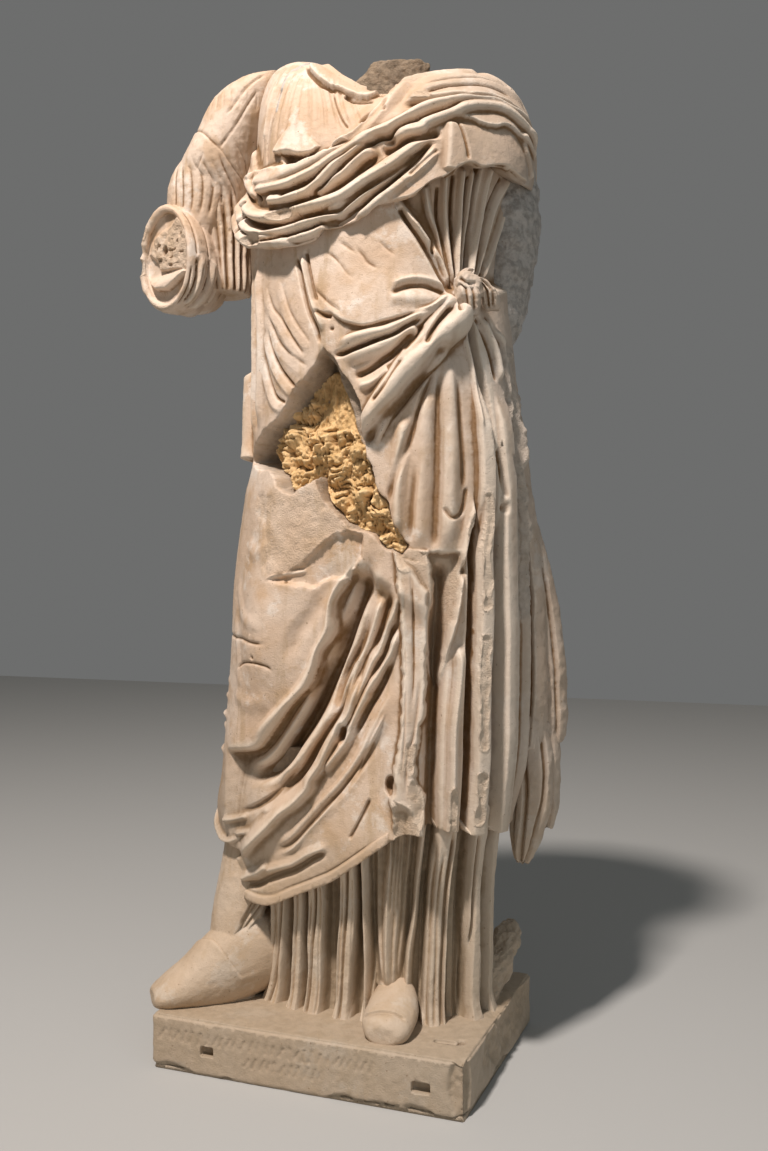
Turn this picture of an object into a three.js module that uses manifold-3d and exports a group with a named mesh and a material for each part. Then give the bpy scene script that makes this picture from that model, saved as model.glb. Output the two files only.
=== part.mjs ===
// Headless draped marble figure, carved in one block with its low base, with a mortar
// filling where the hip was broken away. Millimetres, +Z up, the front faces -Y.
import * as THREE from 'three';
import Module from 'manifold-3d';
import { mergeVertices } from 'three/addons/utils/BufferGeometryUtils.js';

const wasm = await Module();
wasm.setup();

// ---- driving dimensions ------------------------------------------------------------------
const PLINTH_WIDTH = 579;
const PLINTH_DEPTH = 437;
const PLINTH_HEIGHT = 97;
const AXIS_X = 35;               // upright line through the middle of the body
const AXIS_Y = 20;
const COLUMN_FOOT = 80;          // the body's column starts inside the base
const SHOULDER_START = 1600;     // above this the form turns inwards over the shoulders
const RIM_MARK = 1850;           // where that turn reaches the rim of the neck socket
const SOCKET_MARK = 1950;        // and where the socket's wall reaches its floor
const SOCKET_FLOOR = 1650;
const HIP_BREAK_DEPTH = 45;      // how far the broken hollow at the hip is sunk
const FILL_GAP = 0.3;            // clearance between the mortar and the marble
const SECTION_POWER = 2.25;      // squareness of the body's plan: 2 would be an ellipse

// ---- small tools -------------------------------------------------------------------------
const radians = THREE.MathUtils.degToRad;

// A smooth curve through [place, value] knots, level beyond both ends.
function through(knots, at) {
  const last = knots.length - 1;
  const x = THREE.MathUtils.clamp(at, knots[0][0], knots[last][0]);
  let i = 0;
  while (i < last - 1 && x >= knots[i + 1][0]) i += 1;
  const slope = (k) => (k <= 0 || k >= last ? 0
    : (knots[k + 1][1] - knots[k - 1][1]) / (knots[k + 1][0] - knots[k - 1][0]));
  const span = knots[i + 1][0] - knots[i][0];
  const t = (x - knots[i][0]) / span;
  const t2 = t * t;
  const t3 = t2 * t;
  return (2 * t3 - 3 * t2 + 1) * knots[i][1] + (t3 - 2 * t2 + t) * span * slope(i)
    + (3 * t2 - 2 * t3) * knots[i + 1][1] + (t3 - t2) * span * slope(i + 1);
}

// The same all the way round: knots hold degrees from -180 to 180, 0 at the front.
function around(knots, degrees) {
  const [first, second] = knots;
  const [beforeLast, last] = knots.slice(-2);
  const turn = (knot, by) => [knot[0] + by, knot[1]];
  const ring = [turn(beforeLast, -360), turn(last, -360), ...knots, turn(first, 360), turn(second, 360)];
  return through(ring, THREE.MathUtils.euclideanModulo(degrees + 180, 360) - 180);
}

const smooth = (t) => THREE.MathUtils.smoothstep(t, 0, 1);

// A closed geometry as a solid, with its shared corners merged.
function solid(geometry) {
  geometry.deleteAttribute('normal');
  geometry.deleteAttribute('uv');
  const merged = mergeVertices(geometry, 1e-3);
  return new wasm.Manifold(new wasm.Mesh({
    numProp: 3,
    vertProperties: new Float32Array(merged.attributes.position.array),
    triVerts: new Uint32Array(merged.index.array),
  }));
}

// A solid back as a mesh with its own material.
function stoneMesh(name, body, material) {
  const { vertProperties, triVerts } = body.getMesh();
  const geometry = new THREE.BufferGeometry();
  geometry.setAttribute('position', new THREE.BufferAttribute(new Float32Array(vertProperties), 3));
  geometry.setIndex(new THREE.BufferAttribute(new Uint32Array(triVerts), 1));
  geometry.computeVertexNormals();
  const mesh = new THREE.Mesh(geometry, material);
  mesh.name = name;
  return mesh;
}

// ---- the bare form -----------------------------------------------------------------------
// Half widths of the body at each height: towards the figure's right and left, to its front
// and to its back.
const RIGHT_SIDE = [[80, 250], [200, 255], [300, 262], [370, 285], [430, 300], [500, 288], [560, 282],
  [710, 270], [860, 262], [1010, 238], [1080, 220], [1200, 222], [1380, 223], [1500, 228], [1600, 245]];
const LEFT_SIDE = [[80, 245], [200, 248], [320, 252], [420, 262], [560, 280], [710, 285], [860, 285],
  [1010, 285], [1120, 280], [1230, 268], [1380, 258], [1500, 268], [1600, 290]];
const FRONT = [[80, 150], [200, 150], [320, 155], [420, 180], [560, 185], [710, 188], [860, 190],
  [1010, 192], [1120, 190], [1230, 186], [1380, 180], [1500, 182], [1600, 180]];
const BACK = [[80, 165], [200, 165], [320, 168], [420, 178], [560, 185], [710, 190], [860, 197],
  [1010, 200], [1120, 195], [1230, 180], [1380, 170], [1500, 175], [1600, 180]];
// Rim of the neck socket: its height and its half width, round from the back.
const RIM_HEIGHT = [[-180, 1850], [-120, 1838], [-85, 1822], [-55, 1795], [-30, 1765], [-6, 1732],
  [15, 1712], [34, 1718], [70, 1765], [105, 1820], [150, 1845]];
const RIM_RADIUS = [[-180, 90], [-120, 105], [-80, 120], [-30, 112], [15, 100], [45, 105], [90, 125],
  [130, 110]];
const SHOULDER_POWER = [[-180, 0.95], [-90, 0.72], [-30, 1.1], [40, 1.1], [90, 0.78], [140, 0.9]];
// Breasts, belly, knee, shin, thigh and seat: angle, height, spread in degrees, spread up, rise.
const SWELLINGS = [[-28, 1610, 20, 55, 16], [42, 1600, 22, 60, 12], [5, 1330, 40, 110, 14],
  [-33, 760, 17, 130, 34], [-50, 500, 17, 170, 22], [-25, 970, 20, 120, 16],
  [150, 1040, 22, 100, 22], [-150, 1040, 22, 100, 22]];

// A point of the bare form: degrees round from the front, and a mark up the side that goes on
// over the shoulder and down into the neck socket.
function bareForm(degrees, mark) {
  const angle = radians(degrees);
  const height = Math.min(mark, SHOULDER_START);
  const side = through(Math.sin(angle) > 0 ? LEFT_SIDE : RIGHT_SIDE, height);
  const deep = through(Math.cos(angle) > 0 ? FRONT : BACK, height);
  const sum = Math.abs(Math.sin(angle) / side) ** SECTION_POWER
    + Math.abs(Math.cos(angle) / deep) ** SECTION_POWER;
  let radius = sum ** (-1 / SECTION_POWER);
  for (const [atAngle, atHeight, spread, rise, swell] of SWELLINGS) {
    const away = THREE.MathUtils.euclideanModulo(degrees - atAngle + 180, 360) - 180;
    radius += swell * Math.exp(-((away / spread) ** 2) - ((height - atHeight) / rise) ** 2);
  }
  const rimRadius = around(RIM_RADIUS, degrees);
  const rimHeight = around(RIM_HEIGHT, degrees);
  let z = mark;
  const turn = THREE.MathUtils.clamp((mark - SHOULDER_START) / (RIM_MARK - SHOULDER_START), 0, 1);
  if (mark > SHOULDER_START) {
    const power = around(SHOULDER_POWER, degrees);
    const quarter = turn * Math.PI / 2;
    radius = rimRadius + (radius - rimRadius) * Math.max(Math.cos(quarter), 0) ** power;
    z = SHOULDER_START + (rimHeight - SHOULDER_START) * Math.sin(quarter) ** power;
  }
  if (mark > RIM_MARK) {
    const down = Math.min((mark - RIM_MARK) / (SOCKET_MARK - RIM_MARK), 1) * Math.PI / 2;
    radius = (rimRadius - 6) * Math.max(Math.cos(down), 0) ** 0.8;
    z = rimHeight - (rimHeight - SOCKET_FLOOR) * Math.sin(down) ** 0.9;
  }
  return new THREE.Vector3(
    AXIS_X + radius * Math.sin(angle) + 4 * turn,
    AXIS_Y - radius * Math.cos(angle) + 10 * turn,
    z,
  );
}

// ---- drapery -----------------------------------------------------------------------------
// A fold or a furrow follows a line drawn on the bare form as [degrees, mark] points, with a
// half width and a rise; a furrow's rise is below nothing.
const FOLDS = [];
const FURROWS = [];
const fold = (line, halfWidth, rise) => FOLDS.push(stroke(line, halfWidth, rise));
const furrow = (line, halfWidth, depth) => FURROWS.push(stroke(line, halfWidth, depth));

function stroke(line, halfWidth, rise) {
  const curve = new THREE.CatmullRomCurve3(line.map(([d, m]) => new THREE.Vector3(d, m, 0)));
  const steps = 4 * (line.length - 1);
  const points = curve.getPoints(steps).map((p) => bareForm(p.x, p.y));
  return { points, halfWidth, rise, box: new THREE.Box3().setFromPoints(points).expandByScalar(halfWidth) };
}

// How far a stroke lifts a place: a rounded section, dying away at both ends of its line.
function lift({ points, halfWidth, rise, box }, place) {
  if (!box.containsPoint(place)) return 0;
  const nearest = new THREE.Vector3();
  const piece = new THREE.Line3();
  let best = Infinity;
  let along = 0;
  for (let i = 0; i < points.length - 1; i += 1) {
    piece.set(points[i], points[i + 1]);
    const t = piece.closestPointToPointParameter(place, true);
    const away = piece.at(t, nearest).distanceTo(place);
    if (away < best) {
      best = away;
      along = (i + t) / (points.length - 1);
    }
  }
  const section = Math.max(1 - (best / halfWidth) ** 2, 0);
  return rise * section * smooth(Math.min(along, 1 - along) * 8 + 0.2);
}

// Lower edge of the mantle round the legs.
const MANTLE_HEM = [[-180, 400], [-130, 390], [-102, 400], [-85, 345], [-72, 305], [-60, 288], [-45, 285],
  [-30, 308], [-15, 330], [0, 352], [15, 385], [28, 428], [36, 437], [52, 440], [66, 428], [80, 426],
  [130, 420]];

function skirtPleats() {
  // Front pleats are gathered unevenly; the back repeats an even, plainer pleat.
  const front = [-66, -53, -39, -28, -17, -5, 2, 14, 21, 30, 40, 49, 57, 70, 84, 96];
  for (const degrees of front) {
    fold([[degrees, around(MANTLE_HEM, degrees) + 20], [degrees, 80]], 18, 26);
  }
  for (let degrees = 112; degrees < 282; degrees += 28) {
    fold([[degrees, 420], [degrees, 80]], 44, 24);
  }
}

function mantleOverLegs() {
  furrow([[24, 910], [14, 830], [4, 745], [-8, 675], [-22, 600], [-40, 530], [-62, 490]], 34, 30);
  fold([[22, 820], [18, 755], [10, 690], [-1, 585], [-14, 500], [-38, 430], [-58, 400]], 18, 19);
  fold([[33, 850], [21, 715], [6, 630]], 14, 14);
  furrow([[30, 720], [14, 605], [-2, 515], [-24, 430], [-52, 380]], 15, 14);
  fold([[32, 680], [18, 595], [-2, 490], [-24, 407], [-46, 358], [-64, 335]], 19, 19);
  fold([[-112, 500], [-98, 445], [-84, 410], [-64, 384], [-48, 388]], 16, 14);
  furrow([[-3, 402], [-29, 347], [-58, 318]], 12, 8);
}

function frontFall() {
  fold([[38, 920], [39, 700], [39, 400]], 34, 24);
  furrow([[48, 920], [49, 740], [47, 540], [48, 435]], 18, 18);
  fold([[57, 860], [56, 590], [56, 400]], 17, 18);
  fold([[65, 1120], [65, 800], [65, 400]], 15, 20);
  furrow([[61, 1305], [66, 1230], [71, 1040], [72, 800], [73, 400]], 15, 40);
  fold([[77, 1250], [78, 950], [79, 400]], 18, 14);
  fold([[88, 1260], [91, 900], [92, 400]], 20, 14);
  furrow([[44, 1190], [37, 1080], [30, 980]], 14, 10);
  furrow([[50, 1200], [49, 1040], [49, 910]], 14, 11);
  fold([[55, 1220], [56, 1000], [58, 840]], 22, 10);
}

function rollsFromKnot() {
  fold([[61, 1345], [51, 1268], [42, 1222], [27, 1148], [13, 1095]], 23, 25);
  furrow([[58, 1285], [44, 1192], [25, 1118]], 14, 12);
  fold([[57, 1350], [47, 1288], [32, 1205], [18, 1148]], 17, 16);
  fold([[55, 1355], [40, 1300], [22, 1250], [8, 1240]], 17, 12);
  furrow([[50, 1330], [30, 1288], [12, 1292], [-6, 1308]], 14, 7);
}

function overHip() {
  for (const [high, low] of [[-64, -36], [-52, -24], [-40, -14], [-28, -7]]) {
    fold([[high, 1410], [(high + low) / 2 - 3, 1330], [low, 1240]], 15, 9);
  }
  fold([[-74, 1300], [-60, 1210], [-44, 1140]], 15, 9);
  fold([[-86, 1265], [-85, 1200], [-82, 1090]], 22, 28);
}

function sling() {
  fold([[34, 1800], [26, 1710], [9, 1620], [-12, 1574], [-36, 1560], [-58, 1575]], 15, 22);
  fold([[58, 1735], [38, 1680], [15, 1612], [-8, 1558], [-34, 1535], [-60, 1555]], 16, 26);
  fold([[76, 1690], [48, 1690], [29, 1630], [1, 1541], [-25, 1509], [-60, 1525]], 16, 28);
  fold([[60, 1650], [38, 1605], [17, 1545], [-8, 1495], [-38, 1484], [-60, 1505]], 15, 27);
  fold([[52, 1625], [34, 1573], [12, 1505], [-14, 1460], [-42, 1458], [-60, 1485]], 16, 26);
  furrow([[64, 1672], [40, 1630], [23, 1580], [7, 1527]], 12, 14);
  // The sheet over the left arm, ending in its free edge.
  fold([[40, 1560], [60, 1600], [80, 1590], [104, 1580]], 52, 20);
  fold([[34, 1810], [55, 1820], [75, 1800], [96, 1710]], 22, 22);
  fold([[31, 1735], [54, 1755], [78, 1742], [100, 1655]], 18, 24);
  for (const degrees of [118, 138, 158, 178, 198, 218]) {
    fold([[degrees, 1800], [degrees - 6, 1650], [degrees - 14, 1500]], 30, 9);
  }
}

function gatheredGown() {
  const pleats = [[35, 1500, 54], [45, 1520, 57], [55, 1545, 60], [63, 1550, 62], [73, 1540, 66], [84, 1525, 71]];
  for (const [top, mark, foot] of pleats) {
    fold([[top, mark], [(top + foot) / 2, 1450], [foot, 1372]], 12, 14);
  }
}

function breast() {
  furrow([[-45, 1812], [-12, 1798], [20, 1800]], 14, 12);
  furrow([[-30, 1590], [-13, 1590]], 14, 16);
}

function backFolds() {
  for (const degrees of [112, 130, 150, 172, 194, 214, 232]) {
    fold([[degrees, 1400], [degrees + 2, 900], [degrees, 430]], 34, 12);
  }
}

// The broken hollow across the hip, as an outline of [degrees, mark].
const BREAK = [[-4, 1255], [-18, 1200], [-31, 1150], [-45, 1115], [-62, 1092], [-96, 1090], [-96, 1056],
  [-50, 1060], [-28, 1030], [-24, 1015], [-5, 1015], [5, 990], [13, 955], [24, 925], [42, 900], [40, 920],
  [29, 957], [24, 1010], [20, 1050], [14, 1125], [10, 1165], [0, 1240]];
const breakShape = BREAK.map(([d, m]) => new THREE.Vector2(d, m));

function insideBreak(degrees, mark) {
  let inside = false;
  breakShape.forEach((a, i) => {
    const b = breakShape[(i + 1) % breakShape.length];
    const crosses = (a.y > mark) !== (b.y > mark);
    if (crosses && degrees < (b.x - a.x) * (mark - a.y) / (b.y - a.y) + a.x) inside = !inside;
  });
  return inside;
}

// How far the carving stands out from the bare form, or is sunk in it.
function carving(degrees, mark, place) {
  const hem = around(MANTLE_HEM, degrees);
  let raised = 0;
  for (const line of FOLDS) raised = Math.max(raised, lift(line, place));
  let sunk = 0;
  for (const line of FURROWS) sunk = Math.max(sunk, lift(line, place));
  let height = raised - sunk;
  if (mark < hem) height -= 28;
  else if (mark < hem + 120) height += 14 * (1 - (mark - hem) / 120);
  if (insideBreak(degrees, mark)) height = -HIP_BREAK_DEPTH;
  return height;
}

// ---- the draped body ---------------------------------------------------------------------
// Marks of the rows: close together where the folds cross them, far apart where they run up.
function rowMarks() {
  const bands = [[COLUMN_FOOT, 290, 2], [290, 450, 8], [450, 900, 10], [900, 1430, 15], [1430, SHOULDER_START, 11],
    [SHOULDER_START, RIM_MARK, 12], [RIM_MARK, SOCKET_MARK, 3]];
  const marks = [];
  for (const [from, to, steps] of bands) {
    for (let i = 0; i < steps; i += 1) marks.push(from + (to - from) * i / steps);
  }
  marks.push(SOCKET_MARK);
  return marks;
}

// Angles of the columns: close together on the worked side, open over the back.
function columnAngles() {
  const angles = [];
  const workedSide = [-105, 126, 48];
  const back = [126, 255, 9];
  for (const [from, to, steps] of [workedSide, back]) {
    for (let i = 0; i < steps; i += 1) angles.push(from + (to - from) * i / steps);
  }
  return angles;
}

function drapedBody() {
  skirtPleats();
  mantleOverLegs();
  frontFall();
  rollsFromKnot();
  overHip();
  sling();
  gatheredGown();
  breast();
  backFolds();
  const marks = rowMarks();
  const angles = columnAngles();
  const rows = marks.length - 1;
  const drum = new THREE.CylinderGeometry(1, 1, 1, angles.length, rows);
  const position = drum.attributes.position;
  const floorOfSocket = bareForm(0, SOCKET_MARK);
  for (let i = 0; i < position.count; i += 1) {
    const [x, y, z] = [position.getX(i), position.getY(i), position.getZ(i)];
    const row = Math.round((y + 0.5) * rows);
    if (Math.hypot(x, z) < 0.5) {
      const level = row === 0 ? COLUMN_FOOT : SOCKET_FLOOR;
      position.setXYZ(i, floorOfSocket.x, floorOfSocket.y, level);
    } else {
      const turned = THREE.MathUtils.euclideanModulo(Math.atan2(x, z), 2 * Math.PI);
      const column = Math.round(turned / (2 * Math.PI) * angles.length) % angles.length;
      const place = carved(angles[column], marks[row], row === rows);
      position.setXYZ(i, place.x, place.y, place.z);
    }
  }
  return solid(drum);
}

// The carved surface: the bare form moved along its own outward direction.
function carved(degrees, mark, atSocketFloor) {
  if (atSocketFloor) {
    const angle = radians(degrees);
    return new THREE.Vector3(AXIS_X + 4 + 12 * Math.sin(angle), AXIS_Y + 10 - 12 * Math.cos(angle), SOCKET_FLOOR + 1);
  }
  const place = bareForm(degrees, mark);
  if (mark > RIM_MARK) return place;
  const across = bareForm(degrees + 1, mark).sub(bareForm(degrees - 1, mark));
  const up = bareForm(degrees, Math.min(mark + 3, RIM_MARK)).sub(bareForm(degrees, mark - 3));
  const outward = across.cross(up).normalize();
  return place.clone().addScaledVector(outward, carving(degrees, mark, place));
}

// ---- rounded bodies ----------------------------------------------------------------------
// A closed body along a line: points of its middle, two half widths at each, and the
// direction in which the first of them lies. Its ends are blunt.
function roundedBody(middle, halfWidths, sideways, { turns = 12, steps = 8, extra = 0 } = {}) {
  const side = new THREE.Vector3(...sideways);
  const line = new THREE.CatmullRomCurve3(middle.map((p) => new THREE.Vector3(...p)));
  const spread = (k) => halfWidths.map((pair, i) => [i, pair[k] + extra]);
  const ball = new THREE.SphereGeometry(1, turns, steps);
  const position = ball.attributes.position;
  const last = middle.length - 1;
  for (let i = 0; i < position.count; i += 1) {
    const [x, y, z] = [position.getX(i), position.getY(i), position.getZ(i)];
    const along = THREE.MathUtils.clamp((1 - y) / 2, 0, 1);
    const ring = Math.hypot(x, z);
    const round = Math.max(1 - Math.abs(2 * along - 1) ** 5, 0) ** (1 / 5);
    const centre = line.getPoint(along);
    const ahead = line.getTangent(along);
    centre.addScaledVector(ahead, extra * (2 * along - 1));
    const first = side.clone().addScaledVector(ahead, -side.dot(ahead)).normalize();
    const second = new THREE.Vector3().crossVectors(ahead, first);
    if (ring > 1e-6) {
      centre.addScaledVector(first, round * through(spread(0), along * last) * x / ring);
      centre.addScaledVector(second, round * through(spread(1), along * last) * z / ring);
    }
    position.setXYZ(i, centre.x, centre.y, centre.z);
  }
  return solid(ball);
}

const acrossBody = [1, 0, 0];

// Right arm, broken off below the elbow, with its loose sleeve.
function rightArm() {
  const upperArm = roundedBody(
    [[-120, 50, 1715], [-200, 35, 1725], [-262, 20, 1690], [-305, 10, 1630], [-335, -5, 1565], [-345, -15, 1520]],
    [[70, 85], [90, 100], [85, 88], [78, 80], [72, 78], [60, 66]], [0, 1, 0]);
  const sleeveEnd = roundedBody(
    [[-295, 30, 1462], [-325, 0, 1460], [-352, -35, 1458], [-368, -62, 1457]],
    [[55, 78], [60, 88], [58, 86], [52, 80]], [0.55, -0.83, 0]);
  const hangingSleeve = roundedBody(
    [[-268, 30, 1620], [-270, 32, 1560], [-270, 34, 1500], [-270, 36, 1436]],
    [[45, 50], [48, 55], [48, 55], [42, 50]], acrossBody);
  return upperArm.add(sleeveEnd).add(hangingSleeve);
}

// Left arm, broken away along the body.
function leftArm() {
  return roundedBody(
    [[290, 85, 1630], [298, 85, 1560], [300, 88, 1480], [285, 80, 1400], [265, 70, 1330], [262, 65, 1290]],
    [[50, 60], [50, 65], [45, 62], [45, 58], [40, 50], [30, 40]], acrossBody);
}

// Knot of the mantle at the left hip.
function knot() {
  const upper = roundedBody([[244, -104, 1360], [264, -98, 1357], [284, -88, 1350]],
    [[16, 14], [20, 18], [14, 12]], [0, 0, 1], { turns: 8, steps: 6 });
  const lower = roundedBody([[262, -100, 1364], [265, -100, 1338], [267, -94, 1312]],
    [[16, 14], [20, 17], [14, 10]], acrossBody, { turns: 8, steps: 6 });
  return upper.add(lower);
}

// Right foot set out to the side, with the gown drawn over its ankle, and the left shoe's tip.
function feet() {
  const rightFoot = roundedBody(
    [[-318, -180, 108], [-285, -160, 118], [-245, -128, 142], [-205, -98, 165], [-165, -66, 180], [-120, -30, 185]],
    [[22, 16], [40, 30], [50, 55], [54, 78], [58, 95], [60, 100]], [0.6, -0.8, 0]);
  const rightAnkle = roundedBody(
    [[-218, -108, 100], [-213, -95, 170], [-200, -75, 250], [-188, -55, 330], [-180, -40, 400]],
    [[50, 55], [52, 60], [50, 60], [55, 60], [50, 60]], [0.8, 0.6, 0]);
  const leftShoe = roundedBody([[139, -205, 118], [137, -170, 125], [130, -120, 135], [120, -70, 140]],
    [[36, 26], [46, 36], [45, 45], [45, 50]], acrossBody);
  return rightFoot.add(rightAnkle).add(leftShoe);
}

// Ends of the mantle that hung from the left forearm.
function hangingEnds() {
  const outer = roundedBody([[306, 92, 870], [318, 98, 800], [328, 104, 700], [336, 104, 600], [342, 104, 562]],
    [[26, 38], [32, 40], [32, 40], [28, 36], [20, 30]], acrossBody, { turns: 8, steps: 6 });
  const rear = roundedBody([[332, 138, 840], [342, 140, 760], [354, 140, 660], [364, 140, 580], [366, 140, 550]],
    [[18, 28], [18, 30], [19, 30], [18, 28], [14, 20]], acrossBody, { turns: 8, steps: 6 });
  const low = roundedBody([[300, 80, 600], [308, 85, 520], [315, 95, 430], [312, 98, 360], [308, 98, 330]],
    [[30, 35], [32, 40], [32, 40], [28, 35], [20, 25]], acrossBody, { turns: 8, steps: 6 });
  const tail = roundedBody([[335, 135, 570], [345, 135, 500], [348, 138, 440], [345, 140, 390]],
    [[22, 30], [22, 30], [18, 26], [12, 18]], acrossBody, { turns: 8, steps: 6 });
  return outer.add(rear).add(low).add(tail);
}

// ---- the base ----------------------------------------------------------------------------
// A low rectangular block, cut in one with the figure. Its right front corner is knocked off,
// and rough stone was left standing behind the figure's left foot.
function plinth() {
  const half = { x: PLINTH_WIDTH / 2, y: PLINTH_DEPTH / 2 };
  const chip = 24;
  const outline = new THREE.Shape();
  outline.moveTo(-half.x, -half.y);
  outline.lineTo(half.x - chip, -half.y);
  outline.lineTo(half.x, -half.y + chip);
  outline.lineTo(half.x, half.y);
  outline.lineTo(-half.x, half.y);
  outline.closePath();
  const slab = solid(new THREE.ExtrudeGeometry(outline, { depth: PLINTH_HEIGHT, bevelEnabled: false }));
  const leftStone = roundedBody([[245, 95, 88], [262, 125, 120], [255, 150, 88]],
    [[34, 30], [36, 34], [30, 30]], acrossBody, { turns: 10, steps: 6 });
  return slab.add(leftStone);
}

// ---- the mortar filling ------------------------------------------------------------------
// A coarse lump pressed into the broken hollow, wide at the hip and drawn out down to the left.
function filling(extra) {
  const middle = [[0, 1205, -52], [-3, 1150, -50], [-5, 1100, -48], [-2, 1055, -46], [8, 1010, -42],
    [20, 965, -38], [32, 925, -34]];
  const halfWidths = [[16, 16], [34, 26], [62, 32], [66, 34], [46, 32], [32, 28], [18, 20]];
  const points = middle.map(([degrees, mark, depth]) => {
    const place = bareForm(degrees, mark);
    const inward = new THREE.Vector3(AXIS_X - place.x, AXIS_Y - place.y, 0).normalize();
    return place.addScaledVector(inward, -depth).toArray();
  });
  return roundedBody(points, halfWidths, acrossBody, { turns: 16, steps: 14, extra });
}

// ---- the object --------------------------------------------------------------------------
const marble = new THREE.MeshStandardMaterial({ color: 0xdcc4a0, roughness: 0.72, metalness: 0 });
const mortar = new THREE.MeshStandardMaterial({ color: 0xb98a4a, roughness: 0.95, metalness: 0 });

const figure = [rightArm(), leftArm(), knot(), feet(), hangingEnds(), plinth()]
  .reduce((whole, piece) => whole.add(piece), drapedBody())
  .subtract(filling(FILL_GAP));

const object = new THREE.Group();
object.add(stoneMesh('statue', figure, marble));
object.add(stoneMesh('repair_mortar', filling(0), mortar));

export default object;
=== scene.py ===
import math
import bpy
import numpy as np
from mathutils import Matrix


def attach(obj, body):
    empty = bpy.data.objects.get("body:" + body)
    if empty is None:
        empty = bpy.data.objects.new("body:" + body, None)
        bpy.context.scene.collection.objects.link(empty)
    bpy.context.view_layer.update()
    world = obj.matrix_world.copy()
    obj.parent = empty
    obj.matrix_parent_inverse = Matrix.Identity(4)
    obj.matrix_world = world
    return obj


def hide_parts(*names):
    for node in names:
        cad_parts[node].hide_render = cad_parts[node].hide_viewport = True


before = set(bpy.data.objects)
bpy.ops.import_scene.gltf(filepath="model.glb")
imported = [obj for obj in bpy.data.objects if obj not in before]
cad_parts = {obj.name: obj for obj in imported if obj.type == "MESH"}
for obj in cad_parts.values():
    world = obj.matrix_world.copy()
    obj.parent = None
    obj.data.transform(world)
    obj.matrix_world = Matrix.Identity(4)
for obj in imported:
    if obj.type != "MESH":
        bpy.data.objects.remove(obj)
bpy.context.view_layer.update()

# Mantle of the draped lady, round her hips and legs, carved in one block of warm marble with the rest:
# wool cloth drawn tight over the thigh, rolled up at the waist into a knot on the left hip, with
# upright pleats under it; its right hip is lost.

# the block's bare form, roughed out whole from the base up to the socket for her head before any fold
# is carved; a place on it is given in degrees round from the front and a mark up the side
AXIS = (0.035, 0.020)
SHOULDER, RIM, SOCKET = 1.60, 1.85, 1.95
SOCKET_FLOOR = 1.655
LIP, LIP_DROP = .006, .012
SQUARENESS = 2.25
NECK_LEAN = (.004, .010)
RIGHT_SIDE = [
    (0.08, .250), (0.20, .255), (0.30, .262), (0.37, .285), (0.43, .300), (0.50, .288), (0.56, .282),
    (0.71, .270), (0.86, .262), (1.01, .238), (1.08, .220), (1.20, .222), (1.38, .223), (1.50, .228),
    (1.55, .228), (1.60, .214)]
LEFT_SIDE = [
    (0.08, .245), (0.20, .248), (0.32, .252), (0.42, .262), (0.56, .280), (0.71, .285), (0.86, .285),
    (1.01, .285), (1.12, .280), (1.23, .268), (1.38, .258), (1.50, .268), (1.60, .290)]
FRONT = [
    (0.08, .150), (0.20, .150), (0.32, .155), (0.42, .180), (0.56, .185), (0.71, .188), (0.86, .190),
    (1.01, .192), (1.12, .190), (1.23, .186), (1.38, .180), (1.50, .182), (1.60, .180)]
BACK = [
    (0.08, .165), (0.20, .165), (0.32, .168), (0.42, .178), (0.56, .185), (0.71, .190), (0.86, .197),
    (1.01, .200), (1.12, .195), (1.23, .180), (1.38, .170), (1.50, .175), (1.60, .180)]
RIM_HEIGHT = [
    (-180, 1.800), (-120, 1.805), (-85, 1.814), (-55, 1.812), (-30, 1.785), (-6, 1.750), (15, 1.722),
    (34, 1.720), (70, 1.745), (105, 1.780), (150, 1.795)]
RIM_RADIUS = [
    (-180, .090), (-120, .100), (-80, .120), (-30, .112), (15, .100), (45, .105), (90, .125), (130, .110)]
SHOULDER_POWER = [
    (-180, .95), (-120, .70), (-90, .52), (-60, .56), (-30, .95), (40, 1.1), (70, .92), (90, .86),
    (140, .92)]
SWELLINGS = [
    (-28, 1.61, 20, .055, .016), (42, 1.60, 22, .060, .012), (5, 1.33, 40, .110, .014),
    (-33, .76, 17, .130, .034), (-50, .50, 17, .170, .022), (-25, .97, 20, .120, .016),
    (150, 1.04, 22, .100, .022), (-150, 1.04, 22, .100, .022)]


def through(knots, x):
    """A smooth curve through (place, value) knots, level beyond both ends."""
    xs, ys = np.array(knots, float).T
    slope = np.zeros(len(xs))
    slope[1:-1] = (ys[2:] - ys[:-2]) / (xs[2:] - xs[:-2])
    x = np.clip(x, xs[0], xs[-1])
    i = np.clip(np.searchsorted(xs, x, side="right") - 1, 0, len(xs) - 2)
    span = xs[i + 1] - xs[i]
    t = (x - xs[i]) / span
    return ((2 * t**3 - 3 * t**2 + 1) * ys[i] + (t**3 - 2 * t**2 + t) * span * slope[i]
            + (3 * t**2 - 2 * t**3) * ys[i + 1] + (t**3 - t**2) * span * slope[i + 1])


def around(knots, degrees):
    """The same all the way round the block."""
    before = [(at - 360, value) for at, value in knots[-2:]]
    after = [(at + 360, value) for at, value in knots[:2]]
    return through(before + list(knots) + after, (degrees + 180) % 360 - 180)


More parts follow.
